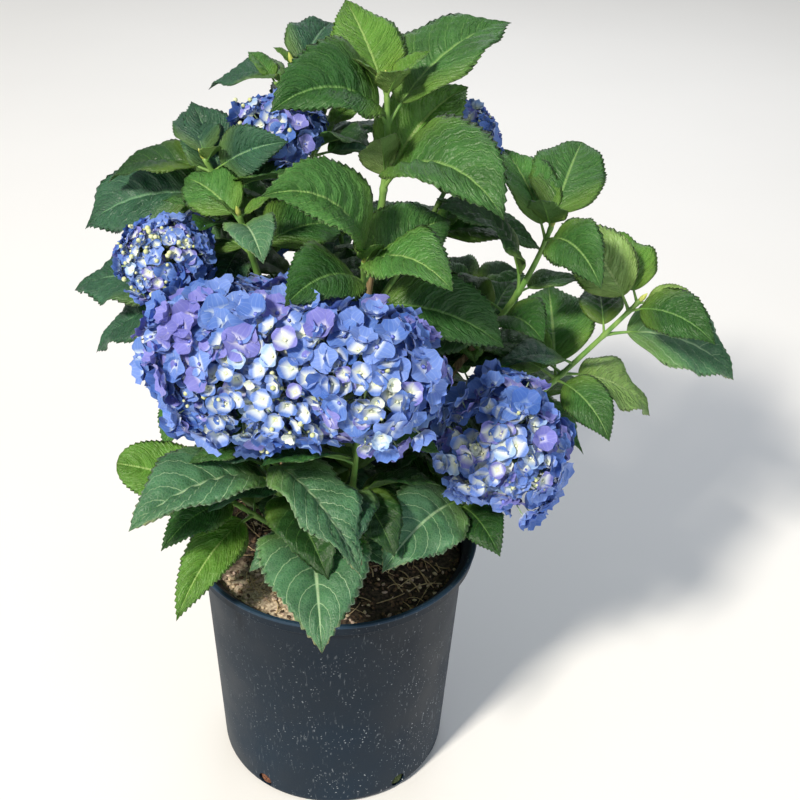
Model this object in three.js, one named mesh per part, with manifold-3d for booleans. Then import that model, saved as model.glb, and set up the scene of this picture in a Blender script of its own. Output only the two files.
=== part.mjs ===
// A bigleaf hydrangea in its nursery pot.
// Millimetres, +Z up, origin at the centre of the pot's flat underside, -Y towards the viewer.
//
// A moulded pot holds a plug of compost. Woody canes stand in it and fan out. A leafy shoot
// meets each cane's tip, and side shoots leave some canes lower down. Leaves stand in opposite
// pairs, each pair crossed to the one above, and a round flower head tops a flowering shoot.

import * as THREE from 'three';
import { mergeVertices } from 'three/addons/utils/BufferGeometryUtils.js';
import Module from 'manifold-3d';

const wasm = await Module();
wasm.setup();

// Two pieces that touch stand this far apart.
const SEAT = 0.3;
const WELD = 1e-4;

const POT = {
  height: 246,
  footRadius: 100,
  footBevel: 4.8,
  baseRadius: 107.5,
  baseHeight: 8,
  shoulderRadius: 119.3,
  rimRadius: 130,
  rimDepth: 12,
  rimDraft: 2.2,
  rimThickness: 4,
  lip: 1,
  lipDepth: 2.6,
  lipBevel: 0.8,
  step: 3,
  wall: 2.4,
  floor: 3,
  sides: 36,
};

// Drain holes stand round the foot and cut through its corner.
const HOLE = { count: 5, radius: 7.5, height: 11, length: 34, sides: 12, firstBearing: -127 };

const COMPOST = { edge: 226, crown: 231, crownShare: 0.7 };

const CANE = { footRadius: 4.8, tipRadius: 3.2, sides: 6, steps: 5 };
const SHOOT = { footRadius: 3.2, apexRadius: 1.9, sides: 5, steps: 3, sag: 0.1 };
const STALK = { radius: 2.4, sides: 5, steps: 2, bow: 0.4 };

// A leaf is an ovate blade on a short stalk. The stations run from its root to its tip.
const LEAF = {
  stalk: 0.16,
  stations: [0, 0.14, 0.36, 0.68, 1],
  halfWidths: [0.012, 0.016, 0.3, 0.27, 0],
  firstBladeStation: 2,
  thickness: 0.02,
  stalkThickness: 2.6,
  fold: 14,
};

// From the bud at the apex downwards, each pair of leaves has its own share of the full size.
const PAIR = {
  below: [4, 14, 40, 78, 112, 148],
  size: [0.3, 0.7, 1, 1, 0.9, 0.8],
  rise: [38, 20, 6, -6, -16, -20],
  arch: [15, 40, 62, 76, 84, 84],
  quarterTurn: 90,
  turnSpread: 14,
  riseSpread: 8,
  sizeSpread: 0.08,
};

// A floret's radius is given for a head of the usual half width, and it is sunk into the core.
const FLORET = { radius: 13, usualHead: 50, depth: 15, sunk: 0.45, lowest: -0.5, spread: 0.09, sides: 4 };
const CORE = { sides: 9, rings: 6 };
const GOLDEN_TURN = Math.PI * (3 - Math.sqrt(5));

// The spread of leaves and florets is dealt out by a seeded row of numbers.
const ROW = { multiplier: 1664525, increment: 1013904223, range: 2 ** 32 };
const FIRST_HEAD_SEED = 11;
const FIRST_SHOOT_SEED = 101;

const COLOUR = {
  pot: '#37424c',
  compost: '#5a4636',
  cane: '#8a7a52',
  leaf: '#3f7f3c',
  floret: '#7383d8',
};

// Where each cane stands in the compost: its bearing round the pot and its distance out.
const CANES = {
  cane_top: { bearing: 20, out: 13, carries: 'top_centre' },
  cane_top_left: { bearing: 118, out: 25, carries: 'top_left' },
  cane_left: { bearing: 158, out: 34, carries: 'left_back' },
  cane_mid_left: { bearing: 205, out: 23, carries: 'mid_left' },
  cane_front_left: { bearing: 232, out: 44, carries: 'front_left_flower' },
  cane_front: { bearing: 276, out: 38, carries: 'front_flower' },
  cane_right_front: { bearing: 328, out: 48, carries: 'right_flower' },
  cane_right_inner: { bearing: 18, out: 42, carries: 'right_inner' },
  cane_right: { bearing: 350, out: 55, carries: 'right' },
  cane_back: { bearing: 85, out: 44, carries: 'back_centre' },
  cane_rear_left: { bearing: 138, out: 52, carries: 'rear_left_flower' },
  cane_rear_right: { bearing: 48, out: 54, carries: 'rear_right_flower' },
};

// foot: where the shoot meets its cane's tip, or share: how far up the cane a side shoot leaves.
// turn: bearing of the first leaf. leaf: length of a full blade. posed: leaves that stand
// off the rule, by pair and side, as [turn, rise, arch, length, roll].
const SHOOTS = {
  top_centre: {
    foot: [34, 12, 545], apex: [37, 10, 662], turn: 20, leaf: 112, pairs: 4,
    below: [4, 14, 36, 88],
    posed: {
      '1a': [113, 33, 25, 84], '1b': [-70, 45, 40, 40], '2a': [215, 17, 95, 106, -35],
      '2b': [36, 26, 60, 122], '3a': [-46, 7, 110, 124, 20], '3b': [42, 34, 60, 100, 30],
    },
  },
  front_centre: {
    side: 'cane_top', share: 0.6, apex: [21, -70, 553], turn: 95, leaf: 98, pairs: 4,
    below: [3, 10, 24, 54],
    posed: {
      '0b': [-67, 47, 20, 34], '1a': [210, 43, 100, 112, -40], '1b': [-52, 14, 80, 94, 20],
      '2a': [44, 12, 60, 90, 20], '2b': [232, 12, 70, 86, -25], '3a': [-12, -11, 60, 104, 25],
      '3b': [150, -14, 60, 74],
    },
  },
  mid_left: {
    foot: [-45, -10, 440], apex: [-72, -40, 576], turn: 200, leaf: 92, pairs: 3,
    below: [4, 12, 44],
    posed: {
      '1a': [124, 3, 40, 80, -20], '1b': [287, -1, 60, 58, 10], '2a': [126, -19, 60, 74, -30],
      '2b': [40, -4, 60, 88, 25],
    },
  },
  left_back: {
    foot: [-60, 32, 470], apex: [-104, 40, 587], turn: -60, leaf: 108, pairs: 4,
    posed: {
      '0b': [108, 14, 30, 62], '1a': [-30, 30, 30, 72, 70], '1b': [167, -12, 70, 84, -10],
      '2a': [118, 42, 40, 80], '2b': [163, -19, 60, 124, -40], '3a': [250, -25, 60, 70],
      '3b': [128, -30, 60, 80],
    },
  },
  right: {
    foot: [98, 0, 308], apex: [247, -10, 490], turn: 61, leaf: 104, pairs: 6,
    below: [4, 14, 44, 96, 104, 150],
    posed: {
      '0a': [-20, 2, 40, 50, 60], '0b': [99, 20, 30, 72], '1a': [-44, 1, 70, 74, 35],
      '1b': [136, 36, 50, 82, -55], '2a': [1, -21, 68, 115, 22], '2b': [87, 11, 40, 62, -10],
      '3a': [6, -30, 60, 88, 15], '3b': [135, -10, 60, 78, -40], '4a': [-52, -23, 70, 66, 30],
      '4b': [88, 22, 30, 92, -10], '5a': [60, -10, 60, 92], '5b': [190, -4, 60, 74],
    },
  },
  right_inner: {
    foot: [118, 15, 430], apex: [172, 10, 546], turn: 66, leaf: 98, pairs: 5,
    below: [3, 14, 66, 96, 118],
    posed: {
      '0a': [68, 23, 30, 88, 10], '0b': [-114, 46, 20, 50], '1a': [-68, -1, 80, 80, 35],
      '1b': [112, 30, 50, 84], '2a': [200, 48, 90, 112, -20], '2b': [20, 0, 40, 56],
      '3a': [-67, 13, 60, 66, 20], '3b': [216, -4, 60, 96, -20], '4a': [65, 16, 40, 64, 20],
    },
  },
  front_left_flower: {
    foot: [-40, -58, 320], apex: [-64, -84, 412], turn: 220, leaf: 122, pairs: 3,
    below: [16, 32, 62],
    posed: {
      '0a': [200, -4, 40, 50], '1a': [-52, -17, 70, 118, -12], '2a': [218, 6, 70, 124],
      '2b': [30, -12, 60, 90],
    },
  },
  right_flower: {
    foot: [84, -32, 285], apex: [112, -56, 324], turn: 232, leaf: 105, pairs: 2,
    below: [8, 22],
    posed: { '0a': [231, -2, 60, 104, -30], '1a': [-69, 4, 60, 74, 20], '1b': [150, 6, 60, 76] },
  },
  low_front: {
    side: 'cane_front', share: 0.3, apex: [-24, -68, 300], turn: 275, leaf: 110, pairs: 2,
    below: [5, 16],
    posed: {
      '0a': [275, -1, 84, 136], '0b': [150, 30, 40, 34],
      '1a': [215, -6, 60, 60], '1b': [-30, -4, 60, 70],
    },
  },
  low_left: {
    side: 'cane_front_left', share: 0.42, apex: [-90, -56, 325], turn: 180, leaf: 90, pairs: 3,
    below: [4, 16, 30],
    posed: {
      '0a': [180, 22, 25, 86, -45], '0b': [110, 20, 40, 50], '1a': [231, 7, 80, 88, -30],
      '1b': [160, -20, 60, 90], '2a': [238, -18, 70, 106, -20], '2b': [215, -40, 50, 60, -40],
    },
  },
  left_flower: {
    side: 'cane_left', share: 0.66, apex: [-114, 6, 496], turn: 157, leaf: 104, pairs: 3,
    below: [8, 16, 66],
    posed: {
      '0a': [157, -13, 50, 110, -20], '0b': [-30, 20, 40, 50], '1a': [170, -33, 50, 104, -10],
      '1b': [240, -20, 50, 60], '2a': [205, -12, 70, 78],
    },
  },
  front_flower: {
    foot: [10, -62, 316], apex: [17, -105, 424], turn: 280, leaf: 100, pairs: 3,
    below: [18, 72, 98],
    posed: {
      '0a': [-20, 10, 40, 60], '1a': [-22, -46, 30, 64], '1b': [172, -30, 40, 74, -20],
      '2a': [128, -6, 60, 80], '2b': [26, 26, 60, 76],
    },
  },
  top_left: {
    foot: [-15, 78, 520], apex: [-36, 105, 643], turn: -15, leaf: 102, pairs: 4,
    posed: {
      '0b': [160, 40, 20, 20], '1a': [72, 14, 40, 80, 15], '1b': [150, -16, 50, 82, -10],
      '2a': [62, -8, 62, 96], '2b': [182, -24, 70, 78], '3a': [20, -20, 70, 80],
    },
  },
  back_left_flower: {
    side: 'cane_top_left', share: 0.8, apex: [-45, 50, 564], turn: 60, leaf: 92, pairs: 2,
    below: [16, 40],
    posed: { '1a': [119, 3, 40, 66, -30], '1b': [50, 14, 50, 58, 40] },
  },
  back_right_flower: {
    side: 'cane_top', share: 0.72, apex: [94, 76, 552], turn: 100, leaf: 100, pairs: 3,
    below: [16, 48, 72],
    posed: { '0a': [60, 10, 50, 60], '0b': [300, 10, 50, 44], '1a': [8, -10, 60, 100, 10] },
  },
  back_mid_left: {
    side: 'cane_top_left', share: 0.5, apex: [-70, 122, 512], turn: 40, leaf: 106, pairs: 4,
    below: [4, 14, 42, 78],
    posed: { '1b': [350, 22, 60, 66], '2a': [180, 24, 60, 84], '3a': [120, -30, 60, 80] },
  },
  back_mid_right: {
    side: 'cane_right_inner', share: 0.72, apex: [124, 92, 436], turn: 25, leaf: 100, pairs: 4,
    below: [4, 14, 38, 60],
    posed: {
      '0a': [45, 1, 40, 66, 30], '0b': [107, 1, 40, 70, -20], '1b': [250, 20, 60, 60],
      '2a': [170, 6, 60, 90], '2b': [16, -14, 60, 80], '3b': [130, -30, 60, 90],
    },
  },
  back_centre: {
    foot: [12, 112, 360], apex: [4, 165, 462], turn: 30, leaf: 112, pairs: 4,
    posed: { '2a': [200, -6, 60, 100] },
  },
  rear_left_flower: {
    foot: [-72, 105, 335], apex: [-92, 142, 412], turn: 60, leaf: 105, pairs: 3,
    below: [16, 40, 66],
  },
  rear_right_flower: {
    foot: [62, 108, 262], apex: [66, 160, 300], turn: 40, leaf: 105, pairs: 2,
    below: [16, 42],
  },
  back_left_low: {
    side: 'cane_rear_left', share: 0.5, apex: [-128, 112, 375], turn: 100, leaf: 104, pairs: 4,
    below: [4, 14, 40, 72],
    posed: {
      '1a': [190, 10, 40, 50], '1b': [80, 24, 60, 64], '2a': [240, -10, 60, 86],
      '3a': [140, -14, 60, 90], '3b': [190, -20, 76, 60],
    },
  },
  back_right_low: {
    side: 'cane_right_inner', share: 0.45, apex: [168, 96, 362], turn: -5, leaf: 108, pairs: 4,
    below: [4, 14, 40, 72],
    posed: {
      '1a': [60, 16, 50, 70], '1b': [-30, -4, 50, 60], '2b': [-32, -16, 60, 96],
      '3a': [20, -20, 60, 100], '3b': [50, -40, 50, 80],
    },
  },
  rear_low: {
    side: 'cane_back', share: 0.4, apex: [-26, 184, 330], turn: 110, leaf: 105, pairs: 3,
  },
};

// Flower heads: centre, half sizes across and along their axis, and the way the axis leans.
const HEADS = {
  head_front_left: {
    on: 'front_left_flower', centre: [-74, -91, 479], size: [66, 61], lean: [-30, -40], florets: 36,
  },
  head_front: {
    on: 'front_flower', centre: [24, -140, 495], size: [51, 47], lean: [10, -50], florets: 26,
  },
  head_right: {
    on: 'right_flower', centre: [134, -74, 390], size: [54, 51], lean: [25, -30], florets: 28,
  },
  head_left: {
    on: 'left_flower', centre: [-131, -25, 529], size: [34, 29], lean: [-30, -35], florets: 20,
  },
  head_back_left: {
    on: 'back_left_flower', centre: [-45, 54, 603], size: [34, 28], lean: [-15, 0], florets: 18,
  },
  head_back_right: {
    on: 'back_right_flower', centre: [101, 84, 590], size: [33, 28], lean: [20, 10], florets: 18,
  },
  head_rear_left: {
    on: 'rear_left_flower', centre: [-98, 155, 462], size: [52, 44], lean: [-20, 35], florets: 26,
  },
  head_rear_right: {
    on: 'rear_right_flower', centre: [68, 186, 352], size: [50, 43], lean: [12, 40], florets: 24,
  },
};

const hydrangea = new THREE.Group();
const placed = new Map();

const radians = THREE.MathUtils.degToRad;
const vector = (list) => new THREE.Vector3(...list);

function seededRandom(seed) {
  let state = seed;
  return () => {
    state = (Math.imul(state, ROW.multiplier) + ROW.increment) >>> 0;
    return state / ROW.range;
  };
}

function solidOf(geometry) {
  const bare = geometry.clone();
  bare.deleteAttribute('normal');
  bare.deleteAttribute('uv');
  const merged = mergeVertices(bare, WELD);
  return new wasm.Manifold(new wasm.Mesh({
    numProp: 3,
    vertProperties: new Float32Array(merged.attributes.position.array),
    triVerts: new Uint32Array(merged.index.array),
  }));
}

// The largest body of a solid, without the loose scraps and sealed hollows that joining leaves.
function mainBody(solid) {
  const bodies = solid.decompose();
  return bodies.reduce((best, body) => (body.volume() > best.volume() ? body : best));
}

function geometryOf(solid) {
  const mesh = solid.getMesh();
  const geometry = new THREE.BufferGeometry();
  geometry.setAttribute('position', new THREE.BufferAttribute(new Float32Array(mesh.vertProperties), 3));
  geometry.setIndex(new THREE.BufferAttribute(new Uint32Array(mesh.triVerts), 1));
  geometry.computeVertexNormals();
  return geometry;
}

function addPiece(name, solid, colour, roughness) {
  const body = mainBody(solid);
  const material = new THREE.MeshStandardMaterial({ color: colour, roughness, metalness: 0 });
  const mesh = new THREE.Mesh(geometryOf(body), material);
  mesh.name = name;
  hydrangea.add(mesh);
  placed.set(name, body);
}

function boxesMeet(a, b) {
  return [0, 1, 2].every((axis) => a.min[axis] < b.max[axis] && b.min[axis] < a.max[axis]);
}

function isClear(solid) {
  const box = solid.boundingBox();
  for (const other of placed.values()) {
    if (boxesMeet(box, other.boundingBox()) && !solid.intersect(other).isEmpty()) {
      return false;
    }
  }
  return true;
}

// A round limb along a curve: a cylinder whose rings are moved onto the curve.
function limb(curve, radiusAt, sides, steps, from = 0, to = 1) {
  const geometry = new THREE.CylinderGeometry(1, 1, 1, sides, steps);
  const position = geometry.attributes.position;
  for (let i = 0; i < position.count; i += 1) {
    const along = from + (to - from) * (position.getY(i) + 0.5);
    const centre = curve.getPoint(along);
    const tangent = curve.getTangent(along);
    const across = new THREE.Vector3(0, 1, 0).cross(tangent).normalize();
    const over = across.clone().cross(tangent);
    const radius = radiusAt(along);
    centre.addScaledVector(across, position.getX(i) * radius);
    centre.addScaledVector(over, position.getZ(i) * radius);
    position.setXYZ(i, centre.x, centre.y, centre.z);
  }
  return solidOf(geometry);
}

// A leaf's midrib is an arc in an upright plane: its heading falls evenly from root to tip.
function midribPoint(leaf, share) {
  const arch = radians(leaf.arch);
  const start = radians(leaf.rise) + arch / 2;
  const heading = start - arch * share;
  const radius = leaf.length * (1 + LEAF.stalk) / arch;
  const out = radius * (Math.sin(start) - Math.sin(heading));
  const up = radius * (Math.cos(heading) - Math.cos(start));
  const turn = radians(leaf.turn);
  const point = new THREE.Vector3(out * Math.cos(turn), out * Math.sin(turn), up).add(leaf.root);
  const along = new THREE.Vector3(
    Math.cos(heading) * Math.cos(turn),
    Math.cos(heading) * Math.sin(turn),
    Math.sin(heading),
  );
  const level = new THREE.Vector3(Math.sin(turn), -Math.cos(turn), 0);
  const across = level.applyAxisAngle(along, radians(leaf.roll));
  const normal = across.clone().cross(along);
  return { point, across, normal };
}

function leafSolid(leaf) {
  const last = LEAF.stations.length - 1;
  const geometry = new THREE.CylinderGeometry(0, 1, 1, 4, last);
  const position = geometry.attributes.position;
  const lift = Math.tan(radians(LEAF.fold));
  for (let i = 0; i < position.count; i += 1) {
    const station = Math.round((position.getY(i) + 0.5) * last);
    const ring = new THREE.Vector2(position.getX(i), position.getZ(i));
    if (ring.length() > 0) {
      ring.normalize();
    }
    const { point, across, normal } = midribPoint(leaf, LEAF.stations[station]);
    const onBlade = station >= LEAF.firstBladeStation;
    const thickness = onBlade ? LEAF.thickness * leaf.length : LEAF.stalkThickness;
    const halfWidth = LEAF.halfWidths[station] * leaf.length;
    const width = onBlade ? halfWidth : Math.max(halfWidth, LEAF.stalkThickness / 2);
    const sideways = ring.x * width;
    point.addScaledVector(across, sideways);
    point.addScaledVector(normal, ring.y * thickness / 2 + (onBlade ? Math.abs(sideways) * lift : 0));
    position.setXYZ(i, point.x, point.y, point.z);
  }
  return solidOf(geometry);
}

function caneCurve(cane) {
  const bearing = radians(cane.bearing);
  const tip = vector(SHOOTS[cane.carries].foot);
  const out = new THREE.Vector3(cane.out * Math.cos(bearing), cane.out * Math.sin(bearing), 0);
  const root = out.clone().setZ(COMPOST.crown + SEAT);
  const middle = root.clone().setZ((root.z + tip.z) / 2);
  return new THREE.QuadraticBezierCurve3(root, middle, tip);
}

function caneRadius(along) {
  return CANE.footRadius + (CANE.tipRadius - CANE.footRadius) * along;
}

function shootRadius(along) {
  return SHOOT.footRadius + (SHOOT.apexRadius - SHOOT.footRadius) * along;
}

function shootCurve(shoot) {
  const apex = vector(shoot.apex);
  if (shoot.side) {
    const foot = caneCurve(CANES[shoot.side]).getPoint(shoot.share);
    const middle = foot.clone().lerp(apex, 0.5);
    middle.z -= foot.distanceTo(apex) * SHOOT.sag;
    return new THREE.QuadraticBezierCurve3(foot, middle, apex);
  }
  const cane = Object.values(CANES).find((one) => SHOOTS[one.carries] === shoot);
  const foot = vector(shoot.foot);
  const onward = caneCurve(cane).getTangent(1);
  const middle = foot.clone().addScaledVector(onward, foot.distanceTo(apex) / 2);
  return new THREE.QuadraticBezierCurve3(foot, middle, apex);
}

// The leaves of one shoot: crossed pairs from the apex down, with a seeded spread.
function leavesOf(shoot, seed) {
  const random = seededRandom(seed);
  const curve = shootCurve(shoot);
  const length = curve.getLength();
  const below = shoot.below ?? PAIR.below;
  const leaves = [];
  for (let pair = 0; pair < shoot.pairs; pair += 1) {
    const root = curve.getPoint(1 - below[pair] / length);
    for (const side of ['a', 'b']) {
      const spread = [random() - 0.5, random() - 0.5, random() - 0.5];
      const pairTurn = shoot.turn + PAIR.quarterTurn * pair + (side === 'b' ? 180 : 0);
      const leaf = {
        root,
        turn: pairTurn + 2 * PAIR.turnSpread * spread[0],
        rise: PAIR.rise[pair] + 2 * PAIR.riseSpread * spread[1],
        arch: PAIR.arch[pair],
        length: shoot.leaf * PAIR.size[pair] * (1 + 2 * PAIR.sizeSpread * spread[2]),
        roll: 0,
      };
      const pose = shoot.posed?.[`${pair}${side}`];
      if (pose) {
        [leaf.turn, leaf.rise, leaf.arch, leaf.length, leaf.roll = 0] = pose;
      }
      leaves.push(leaf);
    }
  }
  return leaves;
}

// The radius of the pot's inner wall at a height below the rim.
function innerRadius(height) {
  const top = POT.height - POT.rimDepth - POT.step;
  const slope = (POT.shoulderRadius - POT.baseRadius) / (POT.height - POT.rimDepth - POT.baseHeight);
  return POT.shoulderRadius - POT.wall - slope * (top - height);
}

function latheSolid(profile) {
  const points = profile.map(([radius, height]) => new THREE.Vector2(radius, height));
  const geometry = new THREE.LatheGeometry(points, POT.sides);
  geometry.rotateX(Math.PI / 2);
  return solidOf(geometry);
}

function buildPot() {
  const rimFoot = POT.height - POT.rimDepth;
  const lipFoot = POT.height - POT.lipDepth;
  const innerShoulder = POT.shoulderRadius - POT.wall;
  let pot = latheSolid([
    [0, 0],
    [POT.footRadius, 0],
    [POT.footRadius + POT.footBevel, POT.footBevel / 2],
    [POT.baseRadius, POT.baseHeight],
    [POT.shoulderRadius, rimFoot],
    [POT.rimRadius - POT.rimDraft, rimFoot],
    [POT.rimRadius - POT.lip, lipFoot - POT.lip / 2],
    [POT.rimRadius, lipFoot],
    [POT.rimRadius, POT.height - POT.lipBevel],
    [POT.rimRadius - POT.lipBevel, POT.height],
    [POT.rimRadius - POT.rimThickness, POT.height],
    [innerShoulder + POT.lip, rimFoot + POT.step],
    [innerShoulder, rimFoot - POT.step],
    [innerRadius(POT.floor), POT.floor],
    [0, POT.floor],
  ]);
  for (let i = 0; i < HOLE.count; i += 1) {
    const cutter = new THREE.CylinderGeometry(HOLE.radius, HOLE.radius, HOLE.length, HOLE.sides);
    cutter.rotateZ(-Math.PI / 2);
    cutter.translate(POT.baseRadius, 0, HOLE.height);
    cutter.rotateZ(radians(HOLE.firstBearing + (i * 360) / HOLE.count));
    pot = pot.subtract(solidOf(cutter));
  }
  addPiece('pot', pot, COLOUR.pot, 0.55);
}

function buildCompost() {
  const foot = POT.floor + SEAT;
  const edgeRadius = innerRadius(COMPOST.edge) - 2 * SEAT;
  const plug = latheSolid([
    [0, foot],
    [innerRadius(foot) - 2 * SEAT, foot],
    [edgeRadius, COMPOST.edge],
    [edgeRadius * COMPOST.crownShare, COMPOST.crown],
    [0, COMPOST.crown],
  ]);
  addPiece('compost', plug, COLOUR.compost, 0.95);
}

function buildCanes() {
  for (const [name, cane] of Object.entries(CANES)) {
    const wood = limb(caneCurve(cane), caneRadius, CANE.sides, CANE.steps);
    addPiece(name, wood, COLOUR.cane, 0.8);
  }
}

// The short stalk that carries on from a flowering shoot to the middle of its head.
function stalkOf(head) {
  const curve = shootCurve(SHOOTS[head.on]);
  const onward = curve.getTangent(1);
  const foot = curve.getPoint(1).addScaledVector(onward, SEAT);
  const centre = vector(head.centre);
  const middle = foot.clone().addScaledVector(onward, foot.distanceTo(centre) * STALK.bow);
  const stalkCurve = new THREE.QuadraticBezierCurve3(foot, middle, centre);
  return limb(stalkCurve, () => STALK.radius, STALK.sides, STALK.steps);
}

// One floret is a four-sided cone with its wide end outwards, at a direction from the centre.
function floretSolid(head, way, size, spin, lean) {
  const [across, along] = head.size;
  const radius = FLORET.radius * size * Math.sqrt(across / FLORET.usualHead);
  const floret = new THREE.ConeGeometry(radius, FLORET.depth, FLORET.sides);
  floret.rotateY(spin);
  floret.translate(0, FLORET.depth / 2, 0);
  const normal = new THREE.Vector3(way.x / across, way.y / across, way.z / along).normalize();
  const inwards = new THREE.Vector3(0, -1, 0);
  floret.applyQuaternion(new THREE.Quaternion().setFromUnitVectors(inwards, normal));
  floret.translate(way.x * across, way.y * across, way.z * along);
  floret.applyQuaternion(lean);
  floret.translate(...head.centre);
  return solidOf(floret);
}

function coreOf(head, lean) {
  const [across, along] = head.size.map((half) => half - FLORET.depth * FLORET.sunk);
  const core = new THREE.SphereGeometry(1, CORE.sides, CORE.rings);
  core.rotateX(Math.PI / 2);
  core.scale(across, across, along);
  core.applyQuaternion(lean);
  core.translate(...head.centre);
  return solidOf(core);
}

function buildHead(name, head, seed) {
  const random = seededRandom(seed);
  const tilt = new THREE.Euler(radians(-head.lean[1]), radians(head.lean[0]), 0, 'YXZ');
  const lean = new THREE.Quaternion().setFromEuler(tilt);
  let solid = stalkOf(head).add(coreOf(head, lean));
  for (let i = 0; i < head.florets; i += 1) {
    const height = 1 - ((i + 0.5) / head.florets) * (1 - FLORET.lowest);
    const flat = Math.sqrt(1 - height * height);
    const turn = GOLDEN_TURN * i;
    const way = new THREE.Vector3(flat * Math.cos(turn), flat * Math.sin(turn), height);
    const size = 1 + FLORET.spread * (random() - 0.5);
    const floret = floretSolid(head, way, size, random() * Math.PI, lean);
    if (isClear(floret)) {
      solid = solid.add(floret);
    }
  }
  addPiece(name, solid, COLOUR.floret, 0.6);
}

function buildShoot(name, shoot, seed) {
  const curve = shootCurve(shoot);
  const length = curve.getLength();
  const from = shoot.side ? 0 : SEAT / length;
  let solid = limb(curve, shootRadius, SHOOT.sides, SHOOT.steps, from);
  if (shoot.side) {
    const cane = caneCurve(CANES[shoot.side]);
    const reach = (along) => caneRadius(along) + SEAT;
    solid = mainBody(solid.subtract(limb(cane, reach, CANE.sides, CANE.steps)));
  }
  for (const leaf of leavesOf(shoot, seed)) {
    const blade = leafSolid(leaf);
    if (isClear(blade)) {
      solid = solid.add(blade);
    }
  }
  addPiece(`leaves_${name}`, solid, COLOUR.leaf, 0.6);
}

buildPot();
buildCompost();
buildCanes();
Object.entries(HEADS).forEach(([name, head], i) => buildHead(name, head, FIRST_HEAD_SEED + i));
Object.entries(SHOOTS).forEach(([name, shoot], i) => buildShoot(name, shoot, FIRST_SHOOT_SEED + i));

export default hydrangea;
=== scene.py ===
"""A bigleaf hydrangea in its nursery pot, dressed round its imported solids.

Sizes in the tables are millimetres, with the origin at the centre of the pot's flat underside,
+Z up and -Y towards the viewer. Meshes are built in metres.
"""

import logging
import math
from collections.abc import Sequence
from dataclasses import dataclass, field
from enum import Enum

import bpy
import numpy as np
from mathutils import Matrix, Quaternion, Vector
from mathutils.bvhtree import BVHTree


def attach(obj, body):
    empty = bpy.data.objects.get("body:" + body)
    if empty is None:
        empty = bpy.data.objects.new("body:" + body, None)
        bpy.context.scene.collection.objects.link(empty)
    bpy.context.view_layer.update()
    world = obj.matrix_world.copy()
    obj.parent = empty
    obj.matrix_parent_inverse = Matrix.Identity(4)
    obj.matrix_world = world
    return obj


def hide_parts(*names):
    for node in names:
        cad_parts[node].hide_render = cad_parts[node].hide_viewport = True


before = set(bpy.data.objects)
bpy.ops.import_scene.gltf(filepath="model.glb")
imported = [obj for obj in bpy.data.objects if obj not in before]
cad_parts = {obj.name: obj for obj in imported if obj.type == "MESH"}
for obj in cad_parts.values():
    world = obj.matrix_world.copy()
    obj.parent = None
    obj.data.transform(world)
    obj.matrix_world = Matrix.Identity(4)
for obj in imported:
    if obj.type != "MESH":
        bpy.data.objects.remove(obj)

LOG = logging.getLogger("hydrangea")
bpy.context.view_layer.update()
MM = 0.001
Point = tuple[float, float, float]
Shape = tuple[np.ndarray, np.ndarray, list[np.ndarray]]
Socket = bpy.types.NodeSocket


@dataclass(frozen=True)
class Cane:
    """A woody cane: where it stands in the compost and the shoot that it carries.

    bearing is in degrees round the pot and out is the distance from its axis.
    """

    bearing: float
    out: float
    carries: str


@dataclass(frozen=True)
class Shoot:
    """A leafy shoot, on a cane's tip (foot) or leaving a cane part of the way up (side, share).

    turn is the bearing of the first leaf and leaf the length of a full blade. below holds each
    pair's distance from the apex. posed holds leaves that stand off the rule, by pair and side,
    as (turn, rise, arch, length, roll).
    """

    apex: Point
    turn: float
    leaf: float
    foot: Point | None = None
    side: str = ""
    share: float = 0.0
    below: tuple[float, ...] = (4, 14, 40, 78)
    posed: dict[str, tuple[float, ...]] = field(default_factory=dict)


@dataclass(frozen=True)
class Head:
    """A mophead: its centre, half sizes across and along its axis, and the way the axis leans."""

    on: str
    centre: Point
    size: tuple[float, float]
    lean: tuple[float, float]


CANES: dict[str, Cane] = {
    "cane_top": Cane(bearing=20, out=13, carries="top_centre"),
    "cane_top_left": Cane(bearing=118, out=25, carries="top_left"),
    "cane_left": Cane(bearing=158, out=34, carries="left_back"),
    "cane_mid_left": Cane(bearing=205, out=23, carries="mid_left"),
    "cane_front_left": Cane(bearing=232, out=44, carries="front_left_flower"),
    "cane_front": Cane(bearing=276, out=38, carries="front_flower"),
    "cane_right_front": Cane(bearing=328, out=48, carries="right_flower"),
    "cane_right_inner": Cane(bearing=18, out=42, carries="right_inner"),
    "cane_right": Cane(bearing=350, out=55, carries="right"),
    "cane_back": Cane(bearing=85, out=44, carries="back_centre"),
    "cane_rear_left": Cane(bearing=138, out=52, carries="rear_left_flower"),
    "cane_rear_right": Cane(bearing=48, out=54, carries="rear_right_flower"),
}

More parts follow.
